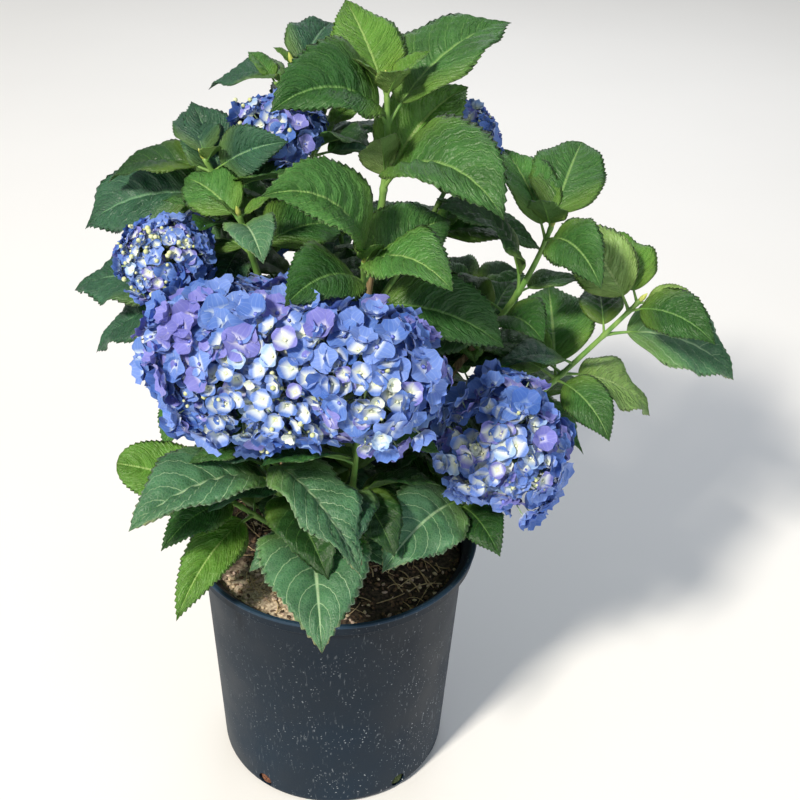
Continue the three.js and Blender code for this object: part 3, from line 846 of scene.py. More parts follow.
@dataclass(frozen=True)
class SepalFinish:
    """Hydrangea sepal: thin coloured tissue, matt and faintly velvety, paler towards its throat, partly its
    own colour and partly a painted highlight.

    A young sepal is coloured at its rim only, and its heart is still cream.
    """

    petal: Petal
    young: bool = False
    patch_mm: float = 9
    young_heart: str = "#e6eee6"
    young_claw: str = "#d8e2a4"

    def material(self) -> bpy.types.Material:
        """Lay out the finish along each sepal.

        Returns:
            The material.
        """
        sepal, throat_and_highlight = self.petal.value
        age = "young" if self.young else "open"
        surface = Surface(
            f"sepal_{self.petal.name.lower()}_{age}", 0.58, IOR=1.4, Sheen_Weight=0.15,
            Subsurface_Weight=0.15, Subsurface_Radius=(0.6, 0.7, 1.0), Subsurface_Scale=0.003)
        node = surface.add
        across, along = node(Kind.SPLIT, node(Kind.PATTERN)).node.outputs[:2]
        veins = node(Kind.RANGE, node(Kind.FOLD, across, 0.1), 0.0, 0.03, 0.12, 0)
        body, rim = linear(sepal), linear(sepal, 1.3)
        # Pale throat: the sepal's own paler heart with a painted highlight.
        heart = linear(self.young_heart if self.young else throat_and_highlight)
        opened = node(Kind.RANGE, along, *((0.22, 0.7) if self.young else (0.0, 0.3)))
        colour = node(Kind.MIX, opened, heart, body)
        if self.young:
            claw = node(Kind.RANGE, along, 0.0, 0.3, 0.6, 0)
            colour = node(Kind.MIX, claw, colour, linear(self.young_claw))
        colour = node(Kind.MIX, node(Kind.RANGE, along, 0.8, 1.0, 0, 0.5), colour, rim)
        colour = node(Kind.MIX, veins, colour, linear(throat_and_highlight))
        patches = node(Kind.NOISE, node(Kind.PLACE), per_mm(self.patch_mm), 3)
        colour = node(Kind.MIX, node(Kind.RANGE, patches, 0.45, 0.75, 0, 0.35), colour, body)
        return surface.wire(Base_Color=colour, Normal=node(Kind.BUMP, veins, 0.2 * MM, 0.4))


@dataclass(frozen=True)
class PlainFinish:
    """A natural matt finish: two colours in patches of a real size, with a rough surface.

    It serves green stems, bark, grit, rootlets and buds, which differ in colour and grain.
    """

    name: str
    first: str
    second: str
    grain_mm: float
    roughness: float
    depth_mm: float = 0.3
    streak: float = 1.0

    def material(self) -> bpy.types.Material:
        """Lay out the finish.

        Returns:
            The material.
        """
        surface = Surface(self.name, self.roughness)
        node = surface.add
        place = node(Kind.STRETCH, node(Kind.PLACE), (1.0, 1.0, 1 / self.streak))
        patches = node(Kind.NOISE, place, per_mm(self.grain_mm), 5)
        share = node(Kind.RANGE, patches, *PATCH_RANGE)
        colour = node(Kind.MIX, share, linear(self.first), linear(self.second))
        normal = node(Kind.BUMP, patches, self.depth_mm * MM, 1.0)
        return surface.wire(Base_Color=colour, Normal=normal)


@dataclass(frozen=True)
class PotFinish:
    """Injection-moulded polypropylene with recycled filler: slate blue, satin, speckled and scuffed.

    Filler shows as fine white specks, handling as pale scuffs, and age as a dusty haze low down. The same
    pale colour along the rim's lip is a painted highlight.
    The specks and the mould's orange peel are drawn coarser than the real ones, so that they show.
    """

    body: str = "#0b1824"
    # Pale colour of the dust low down, also used for the painted highlight on the lip.
    dust_and_lip_highlight: str = "#24394c"
    speck: str = "#c3ccd4"
    speck_mm: float = 2.7
    cloud_mm: float = 60
    wear_mm: float = 30
    scuff_mm: float = 2.2
    orange_peel_mm: float = 1.2
    # Heights in metres: the painted highlight along the lip, then the dust low down.
    lip_highlight_height: tuple[float, float] = (0.2415, 0.244)
    bloom_height: tuple[float, float] = (0.0, 0.2)
    roughness: tuple[float, float] = (0.42, 0.6)

    def material(self) -> bpy.types.Material:
        """Lay out the finish.

        Returns:
            The material.
        """
        surface = Surface("moulded_pot", 0.5, IOR=1.49, Specular_IOR_Level=0.16)
        node = surface.add
        place = node(Kind.PLACE)
        side, _, height = node(Kind.SPLIT, place).node.outputs
        cloud = node(Kind.NOISE, place, per_mm(self.cloud_mm), 4)
        # A painted highlight along the rim's lip, in the dusty colour.
        lip = node(Kind.RANGE, height, *self.lip_highlight_height, 0, 1.4)
        dust_and_lip_highlight = node(Kind.MOST, node(Kind.RANGE, height, *self.bloom_height, 0.55, 0.12), lip)
        dust_and_lip_highlight = node(Kind.TIMES, dust_and_lip_highlight, node(Kind.RANGE, cloud, 0.3, 0.7, 0.5, 1))
        colour = node(Kind.MIX, dust_and_lip_highlight, linear(self.body), linear(self.dust_and_lip_highlight))
        cells = node(Kind.CELLS, place, per_mm(self.speck_mm))
        size = node(Kind.RANGE, cells.node.outputs["Color"], 0.35, 1.0, 0.0, 0.32)
        worn = node(Kind.RANGE, node(Kind.NOISE, place, per_mm(self.wear_mm), 3), 0.36, 0.56)
        worn = node(Kind.TIMES, worn, node(Kind.RANGE, side, -0.06, 0.05, 0.35, 1))
        worn = node(Kind.TIMES, worn, node(Kind.RANGE, height, 0.21, 0.1, 0.4, 1))
        dots = node(Kind.TIMES, node(Kind.BELOW, cells, size), worn)
        colour = node(Kind.MIX, node(Kind.TIMES, dots, 0.7), colour, linear(self.speck))
        upright = node(Kind.STRETCH, place, (1.0, 1.0, 0.25))
        scuffs = node(Kind.NOISE, upright, per_mm(self.scuff_mm), 6)
        scuffs = node(Kind.TIMES, node(Kind.RANGE, scuffs, 0.62, 0.76, 0, 0.5), worn)
        colour = node(Kind.MIX, scuffs, colour, linear(self.speck))
        grain = node(Kind.NOISE, place, per_mm(self.orange_peel_mm), 3)
        return surface.wire(
            Base_Color=colour, Roughness=node(Kind.RANGE, cloud, 0.3, 0.7, *self.roughness),
            Normal=node(Kind.BUMP, grain, 0.08 * MM, 1.0))


@dataclass(frozen=True)
class CompostFinish:
    """Bark and peat compost: crumbly and dead matt, tan in a painted pool of sunlight at the front left and
    near black elsewhere, its own dark colour deepened by painted shade.
    """

    # Two colours each: the compost's dark colour with painted shade, then the painted pool of sunlight.
    dark_and_shade: tuple[str, str] = ("#1f1812", "#54463a")
    painted_sun: tuple[str, str] = ("#8f7e6a", "#d8c8b0")
    grain_mm: float = 3.2
    edge_mm: float = 14

    def material(self) -> bpy.types.Material:
        """Lay out the finish.

        Returns:
            The material.
        """
        surface = Surface("compost", 0.95)
        node = surface.add
        place = node(Kind.PLACE)
        spot = (PAINTED_SUN_SPOT[0] * MM, PAINTED_SUN_SPOT[1] * MM, COMPOST_CROWN * MM)
        ragged = node(Kind.TIMES, node(Kind.NOISE, place, per_mm(self.edge_mm), 3), 0.03)
        away = node(Kind.PLUS, node(Kind.DISTANCE, place, spot), ragged)
        crumbs = node(Kind.NOISE, place, per_mm(self.grain_mm), 5)
        share = node(Kind.RANGE, crumbs, *PATCH_RANGE)
        painted_sun, dark_and_shade = (node(Kind.MIX, share, *map(linear, pair)) for pair in (self.painted_sun, self.dark_and_shade))
        # Tan round the spot is painted sunlight; the rest is the dark colour with painted shade.
        colour = node(Kind.MIX, node(Kind.RANGE, away, 0.05, 0.072), painted_sun, dark_and_shade)
        return surface.wire(Base_Color=colour, Normal=node(Kind.BUMP, crumbs, 1.2 * MM, 1.0))


def clear_selection() -> None:
    """Deselect every object."""
    bpy.ops.object.select_all(action="DESELECT")


def turned(name: str, profile: Sequence[tuple[float, float]], sides: int) -> bpy.types.Object:
    """Make a solid of revolution, extruded ring by ring from a disc.

    Args:
        name: the object's name.
        profile: (radius, height) of each ring in millimetres, from the first disc to the last.
        sides: how many sides a ring has.

    Returns:
        The solid, with its object at the origin.
    """
    clear_selection()
    radius, height = profile[0]
    bpy.ops.mesh.primitive_circle_add(
        vertices=sides, radius=radius * MM, fill_type="NGON", location=(0, 0, height * MM))
    bpy.ops.object.mode_set(mode="EDIT")
    bpy.ops.mesh.select_mode(type="FACE")
    bpy.ops.mesh.select_all(action="SELECT")
    for next_radius, next_height in profile[1:]:
        bpy.ops.mesh.extrude_region_move()
        scale = next_radius / radius
        bpy.ops.transform.resize(value=(scale, scale, 1), center_override=(0, 0, 0))
        bpy.ops.transform.translate(value=(0, 0, (next_height - height) * MM))
        radius, height = next_radius, next_height
    bpy.ops.mesh.select_all(action="SELECT")
    bpy.ops.mesh.normals_make_consistent(inside=False)
    bpy.ops.object.mode_set(mode="OBJECT")
    bpy.ops.object.transform_apply(location=True, rotation=True, scale=True)
    bpy.context.object.name = name
    return bpy.context.object


def place_piece(piece: bpy.types.Object, slot: str, *nodes: str) -> None:
    """Give a piece its body and hide the solids that it stands for.

    Args:
        piece: the piece.
        slot: not used.
        nodes: the solids that it replaces.
    """
    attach(piece, "root")
    if nodes:
        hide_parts(*nodes)
    piece.data.calc_loop_triangles()
    LOG.info("%s: %d triangles", piece.name, len(piece.data.loop_triangles))


@dataclass
class NurseryPot:
    """The moulded pot: a tapered wall, a rounded foot, a rim band with a lip, and drain holes.

    lip holds its rings as (inset from the rim's radius, drop below the pot's top).
    """

    height: float = 246
    foot_radius: float = 100
    foot_rounding: float = 8
    foot_steps: int = 6
    base_radius: float = 107.5
    shoulder_radius: float = 119.3
    rim_radius: float = 130
    rim_depth: float = 12
    lip: tuple[tuple[float, float], ...] = (
        (1.2, 3.4), (0.2, 2.6), (0, 1.4), (0.8, 0.2), (2.4, 0), (4, 0.4), (4.8, 2))
    wall: float = 2.4
    floor: float = 3
    sides: int = 128
    crease_angle: float = 28
    holes: int = 5
    hole_radius: float = 7.5
    hole_height: float = 11
    hole_depth: float = 34
    first_hole: float = -127
    spill_size: Point = (3.5, 7.2, 6.8)
    spill_inset: float = 4.4
    spill_drop: float = 0.4

    def profile(self) -> list[tuple[float, float]]:
        """Draw the pot's section, from the underside, over the rim, to the inner floor.

        Returns:
            The radius and height of each ring.
        """
        rim_foot = self.height - self.rim_depth
        inner = self.shoulder_radius - self.wall
        rings = [(self.foot_radius, 0)]
        for step in range(1, self.foot_steps + 1):
            angle = math.pi / 2 * step / self.foot_steps
            across = (self.base_radius - self.foot_radius) * math.sin(angle)
            rings.append((self.foot_radius + across, self.foot_rounding * (1 - math.cos(angle))))
        rings += [(self.shoulder_radius - 0.4, rim_foot - 3), (self.shoulder_radius + 0.3, rim_foot - 0.6)]
        rings += [(self.rim_radius - 2.6, rim_foot), (self.rim_radius - 2.0, rim_foot + 0.8)]
        for inset, drop in self.lip:
            rings.append((self.rim_radius - inset, self.height - drop))
        return rings + [
            (inner + 1, rim_foot + 3), (inner, rim_foot - 3),
            (self.base_radius - self.wall, self.floor + 2), (self.base_radius - self.wall - 2, self.floor),
        ]

    def hole_place(self, hole: int, inset: float = 0, drop: float = 0) -> tuple[float, Point]:
        """Return a drain hole's bearing and, in metres, the point inset and dropped from its middle."""
        bearing = math.radians(self.first_hole + 360 * hole / self.holes)
        return bearing, tuple(around(self.base_radius - inset, bearing, self.hole_height - drop) * MM)

    def build(self) -> None:
        """Turn the pot, cut its drain holes and give it its finish."""
        pot = turned("moulded_pot", self.profile(), self.sides)
        for hole in range(self.holes):
            bearing, spot = self.hole_place(hole)
            clear_selection()
            bpy.ops.mesh.primitive_cylinder_add(
                vertices=32, radius=self.hole_radius * MM, depth=self.hole_depth * MM, location=spot,
                rotation=(math.pi / 2, 0, bearing + math.pi / 2))
            cutter = bpy.context.object
            bpy.context.view_layer.objects.active = pot
            bpy.ops.object.modifier_add(type="BOOLEAN")
            cut = pot.modifiers[-1]
            cut.operation, cut.object, cut.solver = "DIFFERENCE", cutter, "EXACT"
            bpy.ops.object.modifier_apply(modifier=cut.name)
            bpy.data.objects.remove(cutter)
        clear_selection()
        pot.select_set(True)
        bpy.context.view_layer.objects.active = pot
        bpy.ops.object.shade_smooth_by_angle(angle=math.radians(self.crease_angle))
        pot.data.materials.clear()
        pot.data.materials.append(PotFinish().material())
        place_piece(pot, "pot", "pot")
        self.build_spills()

    def build_spills(self) -> None:
        """Build what has washed into the two front drain holes: rusty grit and moss."""
        for hole, finish in enumerate((
            PlainFinish("rusty_grit", "#4a2f22", "#8c5b40", 1.6, 0.95, 0.8),
            PlainFinish("damp_moss", "#26331d", "#5a6a38", 1.4, 0.95, 0.8),
        )):
            bearing, spot = self.hole_place(hole, self.spill_inset, self.spill_drop)
            clear_selection()
            bpy.ops.mesh.primitive_ico_sphere_add(
                subdivisions=3, radius=1, scale=[side * MM for side in self.spill_size],
                rotation=(0, 0, bearing), location=spot)
            bpy.ops.object.transform_apply(location=True, rotation=True, scale=True)
            spill = bpy.context.object
            spill.name = finish.name
            spill.data.materials.append(finish.material())
            spill.data.shade_smooth()
            place_piece(spill, "compost")


@dataclass
class Compost:
    """The plug of gritty compost: a lumpy top with grit, bark chips and tan rootlets on it."""

    edge: float = 226
    foot: float = 3.6
    top_radius: float = 115.5
    foot_radius: float = 103.5
    rings: int = 46
    sides: int = 144
    lumps: tuple[tuple[float, float], ...] = ((9.0, 1.1), (5.1, 0.8), (2.9, 0.6), (1.7, 0.35))
    chips: int = 1500
    chip_length: tuple[float, float] = (0.8, 3.4)
    chip_width: tuple[float, float] = (0.8, 2.6)
    chip_thickness: tuple[float, float] = (0.5, 1.5)
    # Pale grit lies mostly in the painted pool of sunlight, and more thinly elsewhere.
    painted_sun_reach: tuple[float, float] = (30, 56)
    pale_in_painted_sun: float = 0.8
    pale_elsewhere: float = 0.16
    rootlets: int = 190
    rootlet_length: tuple[float, float] = (9, 30)
    rootlet_radius: tuple[float, float] = (0.3, 0.6)
    rootlet_bend: float = 1.4
    rootlet_lift: float = 2.5
    litter_seed: int = 71

    def level(self, radius: np.ndarray) -> np.ndarray:
        """Return the height of the top at a distance from the pot's axis."""
        share = np.clip((radius / self.top_radius - 0.7) / 0.3, 0, 1)
        return COMPOST_CROWN - (COMPOST_CROWN - self.edge) * share**1.3 - 1.2

    def plug(self) -> bpy.types.Object:
        """Turn the body of the plug and raise its top into lumps.

        Returns:
            The plug.
        """
        profile = [(self.foot_radius, self.foot), (self.top_radius, self.edge - 4)]
        for radius in np.linspace(self.top_radius, 1.5, self.rings):
            profile.append((float(radius), float(self.level(radius))))
        piece = turned("compost_plug", profile, self.sides)
        coords = np.empty(len(piece.data.vertices) * 3)
        piece.data.vertices.foreach_get("co", coords)
        points = coords.reshape(-1, 3) / MM
        x, y, z = points.T
        raised = sum(
            amount * np.sin(x / size + 1.7 * turn) * np.sin(y / size + 2.3 * turn)
            for turn, (size, amount) in enumerate(self.lumps)
        )
        points[:, 2] += np.where(z > self.edge - 3, raised, 0)
        piece.data.vertices.foreach_set("co", (points * MM).ravel())
        piece.data.update()
        piece.data.materials.append(CompostFinish().material())
        piece.data.shade_smooth()
        return piece

    def add_chips(self, store: MeshStore, row: Row) -> None:
        """Scatter grit and bark chips, pale ones mostly in the painted pool of sunlight.

        Args:
            store: the litter.
            row: where their places and sizes come from.
        """
        clear_selection()
        bpy.ops.mesh.primitive_ico_sphere_add(subdivisions=1, radius=1)
        ball = bpy.context.object
        points = np.array([v.co for v in ball.data.vertices])
        faces = np.array([list(p.vertices) for p in ball.data.polygons])
        bpy.data.objects.remove(ball)
        for _ in range(self.chips):
            radius = self.top_radius * 0.985 * math.sqrt(row.next())
            turn = row.span(0, 2 * math.pi)
            sides = (self.chip_length, self.chip_width, self.chip_thickness)
            size = np.array([row.span(*side) for side in sides])
            spin = np.array(Matrix.Rotation(row.span(0, math.pi), 3, "Z"))
            spot = around(radius, turn, float(self.level(radius)) + 0.9)
            # Pale chips gather in the painted pool of sunlight.
            painted_sun = math.dist(spot[:2], PAINTED_SUN_SPOT) < row.span(*self.painted_sun_reach)
            pale = row.next() < (self.pale_in_painted_sun if painted_sun else self.pale_elsewhere)
            chip = (points * size) @ spin.T + spot
            store.add(chip, np.zeros((len(chip), 2)), [faces], int(row.next() * 2) + (2 if pale else 0))

    def add_rootlets(self, store: MeshStore, row: Row) -> None:
        """Lay bent rootlets on the compost, each raised a little in its middle.

        Args:
            store: the litter.
            row: where their places and bends come from.
        """
        for _ in range(self.rootlets):
            radius = self.top_radius * 0.93 * math.sqrt(row.next())
            turn, way = row.span(0, 2 * math.pi), row.span(0, 2 * math.pi)
            bend = row.span(-self.rootlet_bend, self.rootlet_bend)
            length = row.span(*self.rootlet_length)
            steps = np.linspace(-0.5, 0.5, 6)
            bow = bend * 6 * steps**2
            x = radius * math.cos(turn) + length * steps * math.cos(way) + bow * math.sin(way)
            y = radius * math.sin(turn) + length * steps * math.sin(way) - bow * math.cos(way)
            z = self.level(np.hypot(x, y)) + 1.6 + row.span(0, self.rootlet_lift) * (1 - 4 * steps**2)
            if (np.hypot(x, y) < self.top_radius - 1).all():
                radii = np.full(6, row.span(*self.rootlet_radius))
                store.add_limb(np.stack([x, y, z], -1), radii, 4, 4)

    def build(self) -> None:
        """Build the plug and what lies on it."""
        place_piece(self.plug(), "compost", "compost")
        row, litter = Row(self.litter_seed), MeshStore()
        self.add_chips(litter, row)
        self.add_rootlets(litter, row)
        finishes = (
            PlainFinish("bark_chip", "#5a4535", "#8a6f56", 2.0, 0.9),
            PlainFinish("peat_crumb", "#3a2e24", "#655341", 2.0, 0.95),
            PlainFinish("tan_grit", "#c0ac8e", "#ead8b8", 2.0, 0.85),
            PlainFinish("pink_grit", "#b49c8c", "#dec6b6", 2.0, 0.8),
            PlainFinish("rootlet", "#a88f68", "#d4c098", 3.0, 0.8),
        )
        piece = litter.build("compost_litter", [f.material() for f in finishes], smooth=False)
        place_piece(piece, "compost")


@dataclass
class WoodyCanes:
    """The canes: pale brown stems with thin peeling bark and a swollen ring at each old leaf pair."""

    sides: int = 14
    ring_mm: float = 2.5
    node_mm: float = 46
    node_width: float = 3.2
    node_swell: float = 0.22
    unevenness: float = 0.25
    ridge_share: float = 0.09
    ripple_share: float = 0.05
    first_seed: int = 500

    def build(self) -> None:
        """Build each cane with its bark's relief."""
        bark = PlainFinish("peeling_bark", "#6d5a3c", "#b5a076", 2.6, 0.85, 0.5, 9.0).material()
        for index, (name, cane) in enumerate(CANES.items()):
            row = Row(self.first_seed + index)
            curve = cane_curve(cane)
            length = curve.length()
            steps = max(12, int(length / self.ring_mm))
            share = np.linspace(0, 1, steps + 1)
            radii = CANE_RADII[0] + (CANE_RADII[1] - CANE_RADII[0]) * share
            phase = row.span(0, self.node_mm)
            to_node = np.abs((share * length + phase) % self.node_mm - self.node_mm / 2)
            radii = radii * (1 + self.node_swell * np.exp(-(to_node / self.node_width) ** 2))
            radii = radii + self.unevenness * np.sin(share * length / 5 + row.span(0, 6))
            points, uv, faces = sweep(curve.at(share), radii, self.sides)
            ring = points[:-2].reshape(steps + 1, self.sides, 3)
            middle = ring.mean(1, keepdims=True)
            ridge = 1 + self.ridge_share * np.sin(np.arange(self.sides) * 2.7 + index)[None, :, None]
            ridge = ridge + self.ripple_share * np.sin(share * length / 3.1)[:, None, None]
            points[:-2] = (middle + (ring - middle) * ridge).reshape(-1, 3)
            store = MeshStore()
            store.add(points, uv, faces, 0)
            place_piece(store.build(f"bark_{name}", [bark]), "cane", name)


@dataclass
class LeafBlade:
    """A leaf blade: ovate and pointed, toothed, quilted between sunk side veins, with a wavy rim.

    Sizes are shares of the blade's length, the thickness is in millimetres and the fold in degrees.
    """

    teeth: int = 23
    rows_per_tooth: int = 3
    across: tuple[float, ...] = (0, 0.07, 0.2, 0.34, 0.5, 0.67, 0.84, 1)
    side_veins: float = 8.0
    vein_sweep: float = 0.3
    quilt: float = 0.034
    tooth: float = 0.02
    thickness: float = 0.5
    width_spread: tuple[float, float] = (0.94, 1.14)
    wave_spread: tuple[float, float] = (0.016, 0.046)
    wave_beats: tuple[float, float] = (1.6, 3.0)
    fold_spread: tuple[float, float] = (-8, 16)
    flatten_spread: tuple[float, float] = (0.1, 0.5)
    twist_spread: tuple[float, float] = (-0.16, 0.16)

    def add_to(self, store: MeshStore, leaf: Leaf, row: Row, slots: tuple[int, int]) -> None:
        """Add one leaf's blade to a piece.

        Args:
            store: the piece.
            leaf: the leaf's place and pose.
            row: where its small differences come from.
            slots: the numbers of its finishes, face and underside.
        """
        share = np.linspace(0, 1, self.teeth * self.rows_per_tooth + 1)
        b, flat = np.meshgrid(share, [-x for x in self.across[:0:-1]] + list(self.across), indexing="ij")
        size = np.abs(flat)
        point, along, across, normal = leaf.midrib(BLADE_START + (1 - BLADE_START) * share)
        width = leaf.half_width(share)[:, None] * row.span(*self.width_spread) * leaf.slim
        saw = (share * self.teeth)[:, None] % 1.0
        edge = (size > 0.99) * np.minimum(1, 12 * share * (1 - share))[:, None]
        sideways = flat * width + np.sign(flat) * edge * self.tooth * leaf.length * (saw - 0.35)
        forward = edge * self.tooth * leaf.length * 0.7 * saw
        vein = self.side_veins * (b - self.vein_sweep * size**1.25) + 0.35
        groove = np.abs(np.sin(math.pi * vein))
        bulge = 0.5 * (groove + groove**2) * np.clip(size / 0.2, 0, 1) * (1 - size**5)
        bulge *= np.minimum(1, 5 * b * (1 - b) + 0.1)
        wave = row.span(*self.wave_spread) * leaf.length
        phase, beats = row.span(0, 6.28), row.span(*self.wave_beats)
        ripple = wave * size**2.5 * np.sin(2 * math.pi * beats * b + phase + np.sign(flat) * 1.3)
        lift = np.tan(math.radians(LEAF_FOLD + row.span(*self.fold_spread)))
        cup = np.abs(sideways) * lift * (1 - row.span(*self.flatten_spread) * size**2)
        up = cup + self.quilt * leaf.length * bulge + ripple * np.minimum(1, 6 * b * (1 - b))
        up = up + sideways * (row.span(*self.twist_spread) * b)
        face = (point[:, None] + across[:, None] * sideways[..., None] + normal[:, None] * up[..., None]
                + along[:, None] * forward[..., None])
        drop = self.thickness * (1 - size**8) * np.minimum(1, 8 * b * (1 - b))
        under = face - normal[:, None] * drop[..., None]
        index = np.arange(b.size).reshape(b.shape)
        inner = np.zeros(b.shape, bool)
        inner[1:-1, 1:-1] = True
        below = index.copy()
        below[inner] = b.size + np.arange(inner.sum())
        points = np.concatenate([face.reshape(-1, 3), under[inner]])
        uv = np.stack([vein, size], -1)
        uv = np.concatenate([uv.reshape(-1, 2), uv[inner]])
        store.add(points, uv, [grid_faces(index, True), grid_faces(below, False)], *slots)


class Clearance:
    """Keeps coarse shapes of what has grown, so that a leaf whose coarse blade cuts them is left out."""

    def __init__(self) -> None:
        """Start with nothing grown."""
        self.grown: list[tuple[BVHTree, np.ndarray, np.ndarray]] = []

    def try_add(self, points: np.ndarray, faces: np.ndarray, must: bool = False) -> bool:
        """Keep a shape if it touches nothing that has been kept so far.

        Args:
            points: its vertices.
            faces: its faces.
            must: whether it is kept whatever it touches.

        Returns:
            Whether it was kept.
        """
        low, high = points.min(0), points.max(0)
        tree = BVHTree.FromPolygons(points.tolist(), faces.tolist())
        if not must:
            for other, other_low, other_high in self.grown:
                apart = (low > other_high).any() or (other_low > high).any()
                if not apart and other.overlap(tree):
                    return False
        self.grown.append((tree, low, high))
        return True


# How often each green comes up, by the longest leaf that the row is for.
TONE_SHARES = (
    (42, {Tone.YOUNG: 7, Tone.BRIGHT: 3}),
    (72, {Tone.YOUNG: 1, Tone.BRIGHT: 3, Tone.SUNLIT: 4, Tone.MID: 3}),
    (200, {Tone.BRIGHT: 1, Tone.SUNLIT: 5, Tone.MID: 5, Tone.DEEP: 2}),
)

INNER = "inner"
# Inner leaves take darker greens, painted shade for the crown's heart.
INNER_SHADE_TONES = {Tone.DEEP: 5, Tone.MID: 3, Tone.SHADE: 2}

# Greens that belong to a place: a whole shoot's, then single leaves'. Besides the leaves' own greens, they
# paint light and shade: lighter greens for leaves in sun, darker ones for leaves in shade.
SHOOT_GREENS_AND_SHADE = {
    "left_back": Tone.SHADE, "top_left": Tone.SHADE, "left_flower": Tone.SHADE,
    "low_front": Tone.DUSTY, "back_centre": Tone.MID, "rear_low": Tone.DEEP,
}
LEAF_GREENS_LIT_AND_SHADED = {
    "top_centre": {"1a": Tone.YOUNG, "1b": Tone.BRIGHT, "2a": Tone.MID, "2b": Tone.SUNLIT,
        "3b": Tone.YOUNG},
    "left_back": {"1b": Tone.DEEP},
    "mid_left": {"1a": Tone.BRIGHT, "1b": Tone.DUSTY, "2b": Tone.MID},
    "front_centre": {"1a": Tone.BRIGHT, "1b": Tone.BRIGHT, "2b": Tone.MID, "3a": Tone.MID},
    "right": {"0a": Tone.BACKLIT, "0b": Tone.YOUNG, "1a": Tone.MID, "1b": Tone.BACKLIT, "2a": Tone.DUSTY,
        "2b": Tone.DEEP, "3a": Tone.BACKLIT, "3b": Tone.BRIGHT, "4a": Tone.SUNLIT, "4b": Tone.BRIGHT},
    "right_inner": {"0a": Tone.SUNLIT, "1a": Tone.SUNLIT, "1b": Tone.BRIGHT, "2a": Tone.DEEP,
        "2b": Tone.MID, "3b": Tone.DEEP, "4a": Tone.MID},
    "front_left_flower": {"1a": Tone.DUSTY, "2a": Tone.DUSTY, "2b": Tone.DEEP},
    "front_flower": {"1a": Tone.DEEP, "1b": Tone.DEEP, "2a": Tone.DEEP},
    "right_flower": {"0a": Tone.DUSTY, "1a": Tone.DEEP},
    "low_left": {"0a": Tone.YOUNG, "1a": Tone.MID, "1b": Tone.DEEP, "2a": Tone.YOUNG, "2b": Tone.DEEP},
    "back_mid_right": {"0a": Tone.DEEP, "0b": Tone.DEEP},
}

# Leaves of another outline than the usual one, as its powers towards root and tip, and leaves
# that are broader or narrower than the usual one.
ROUND_LEAVES = {("low_left", "0a"): (0.5, 0.5), ("right_inner", "0a"): (0.6, 0.85)}
LEAF_WIDTHS = {
    ("right_inner", "0a"): 1.15, ("right", "4b"): 1.2, ("right", "0b"): 1.15,
    ("low_left", "1a"): 0.74, ("low_left", "2a"): 0.6, ("low_left", "0a"): 0.92,
    ("front_left_flower", "1a"): 0.95, ("low_front", "0a"): 1.02, ("top_centre", "2a"): 1.12,
    ("top_centre", "3a"): 1.1,
}

# Leaves that the solids leave out for want of room: here they are tried last, as they are thinner.
TRIED_LAST = {
    "right_inner": "4b", "low_front": "0b", "left_flower": "0b 1b", "front_flower": "1b 2a 2b",
    "top_left": "2b", "back_left_flower": "1b", "back_right_flower": "2a", "back_mid_left": "0b 2a 3b",
    "back_mid_right": "2b 3a", "back_centre": "2a 3a", "rear_left_flower": "0a", "back_left_low": "1b",
    "back_right_low": "0a 1b", "rear_low": "1b 2a",
}

# Young leaves in a node's axils, as (mm below the apex, turn, rise, arch, length, roll).
AXIL = "axil"
AXIL_LEAVES = {
    "top_centre": (
        (84, -100, 58, 50, 52, 30), (83, -28, 60, 60, 48, -40), (81, -150, 50, 40, 40, 0),
        (78, -64, 62, 40, 42, 0),
    ),
}

# Shoots that also carry short side twigs.
BUSHY = (
    "back_mid_left", "back_mid_right", "back_centre", "rear_left_flower", "rear_right_flower",
    "back_left_low", "back_right_low", "rear_low", "left_back", "top_left",
)

# The head that is still opening, and the heads whose florets are smaller than the usual one.
OPENING_HEAD = "head_left"
FLORET_SIZES = {"head_left": 0.62, "head_back_left": 0.8, "head_back_right": 0.8}

# How far down, as a share of its radius, a head that rests on leaves has florets.
FLAT_BELOW = {"head_front": -0.74, "head_right": -0.78}

# Heads that have grown into each other, so that florets fill the valley between them.
GROWN_INTO = {"head_front_left": "head_front"}

# The middle of a head opens last. It is the pole of a head that isn't named here.
HEARTS = {
    "head_front_left": (0.4, -0.85, 0.12), "head_front": (-0.42, -0.85, 0.15),
    "head_right": (-0.12, -0.88, 0.35), "head_left": (-0.35, -0.8, 0.45),
}


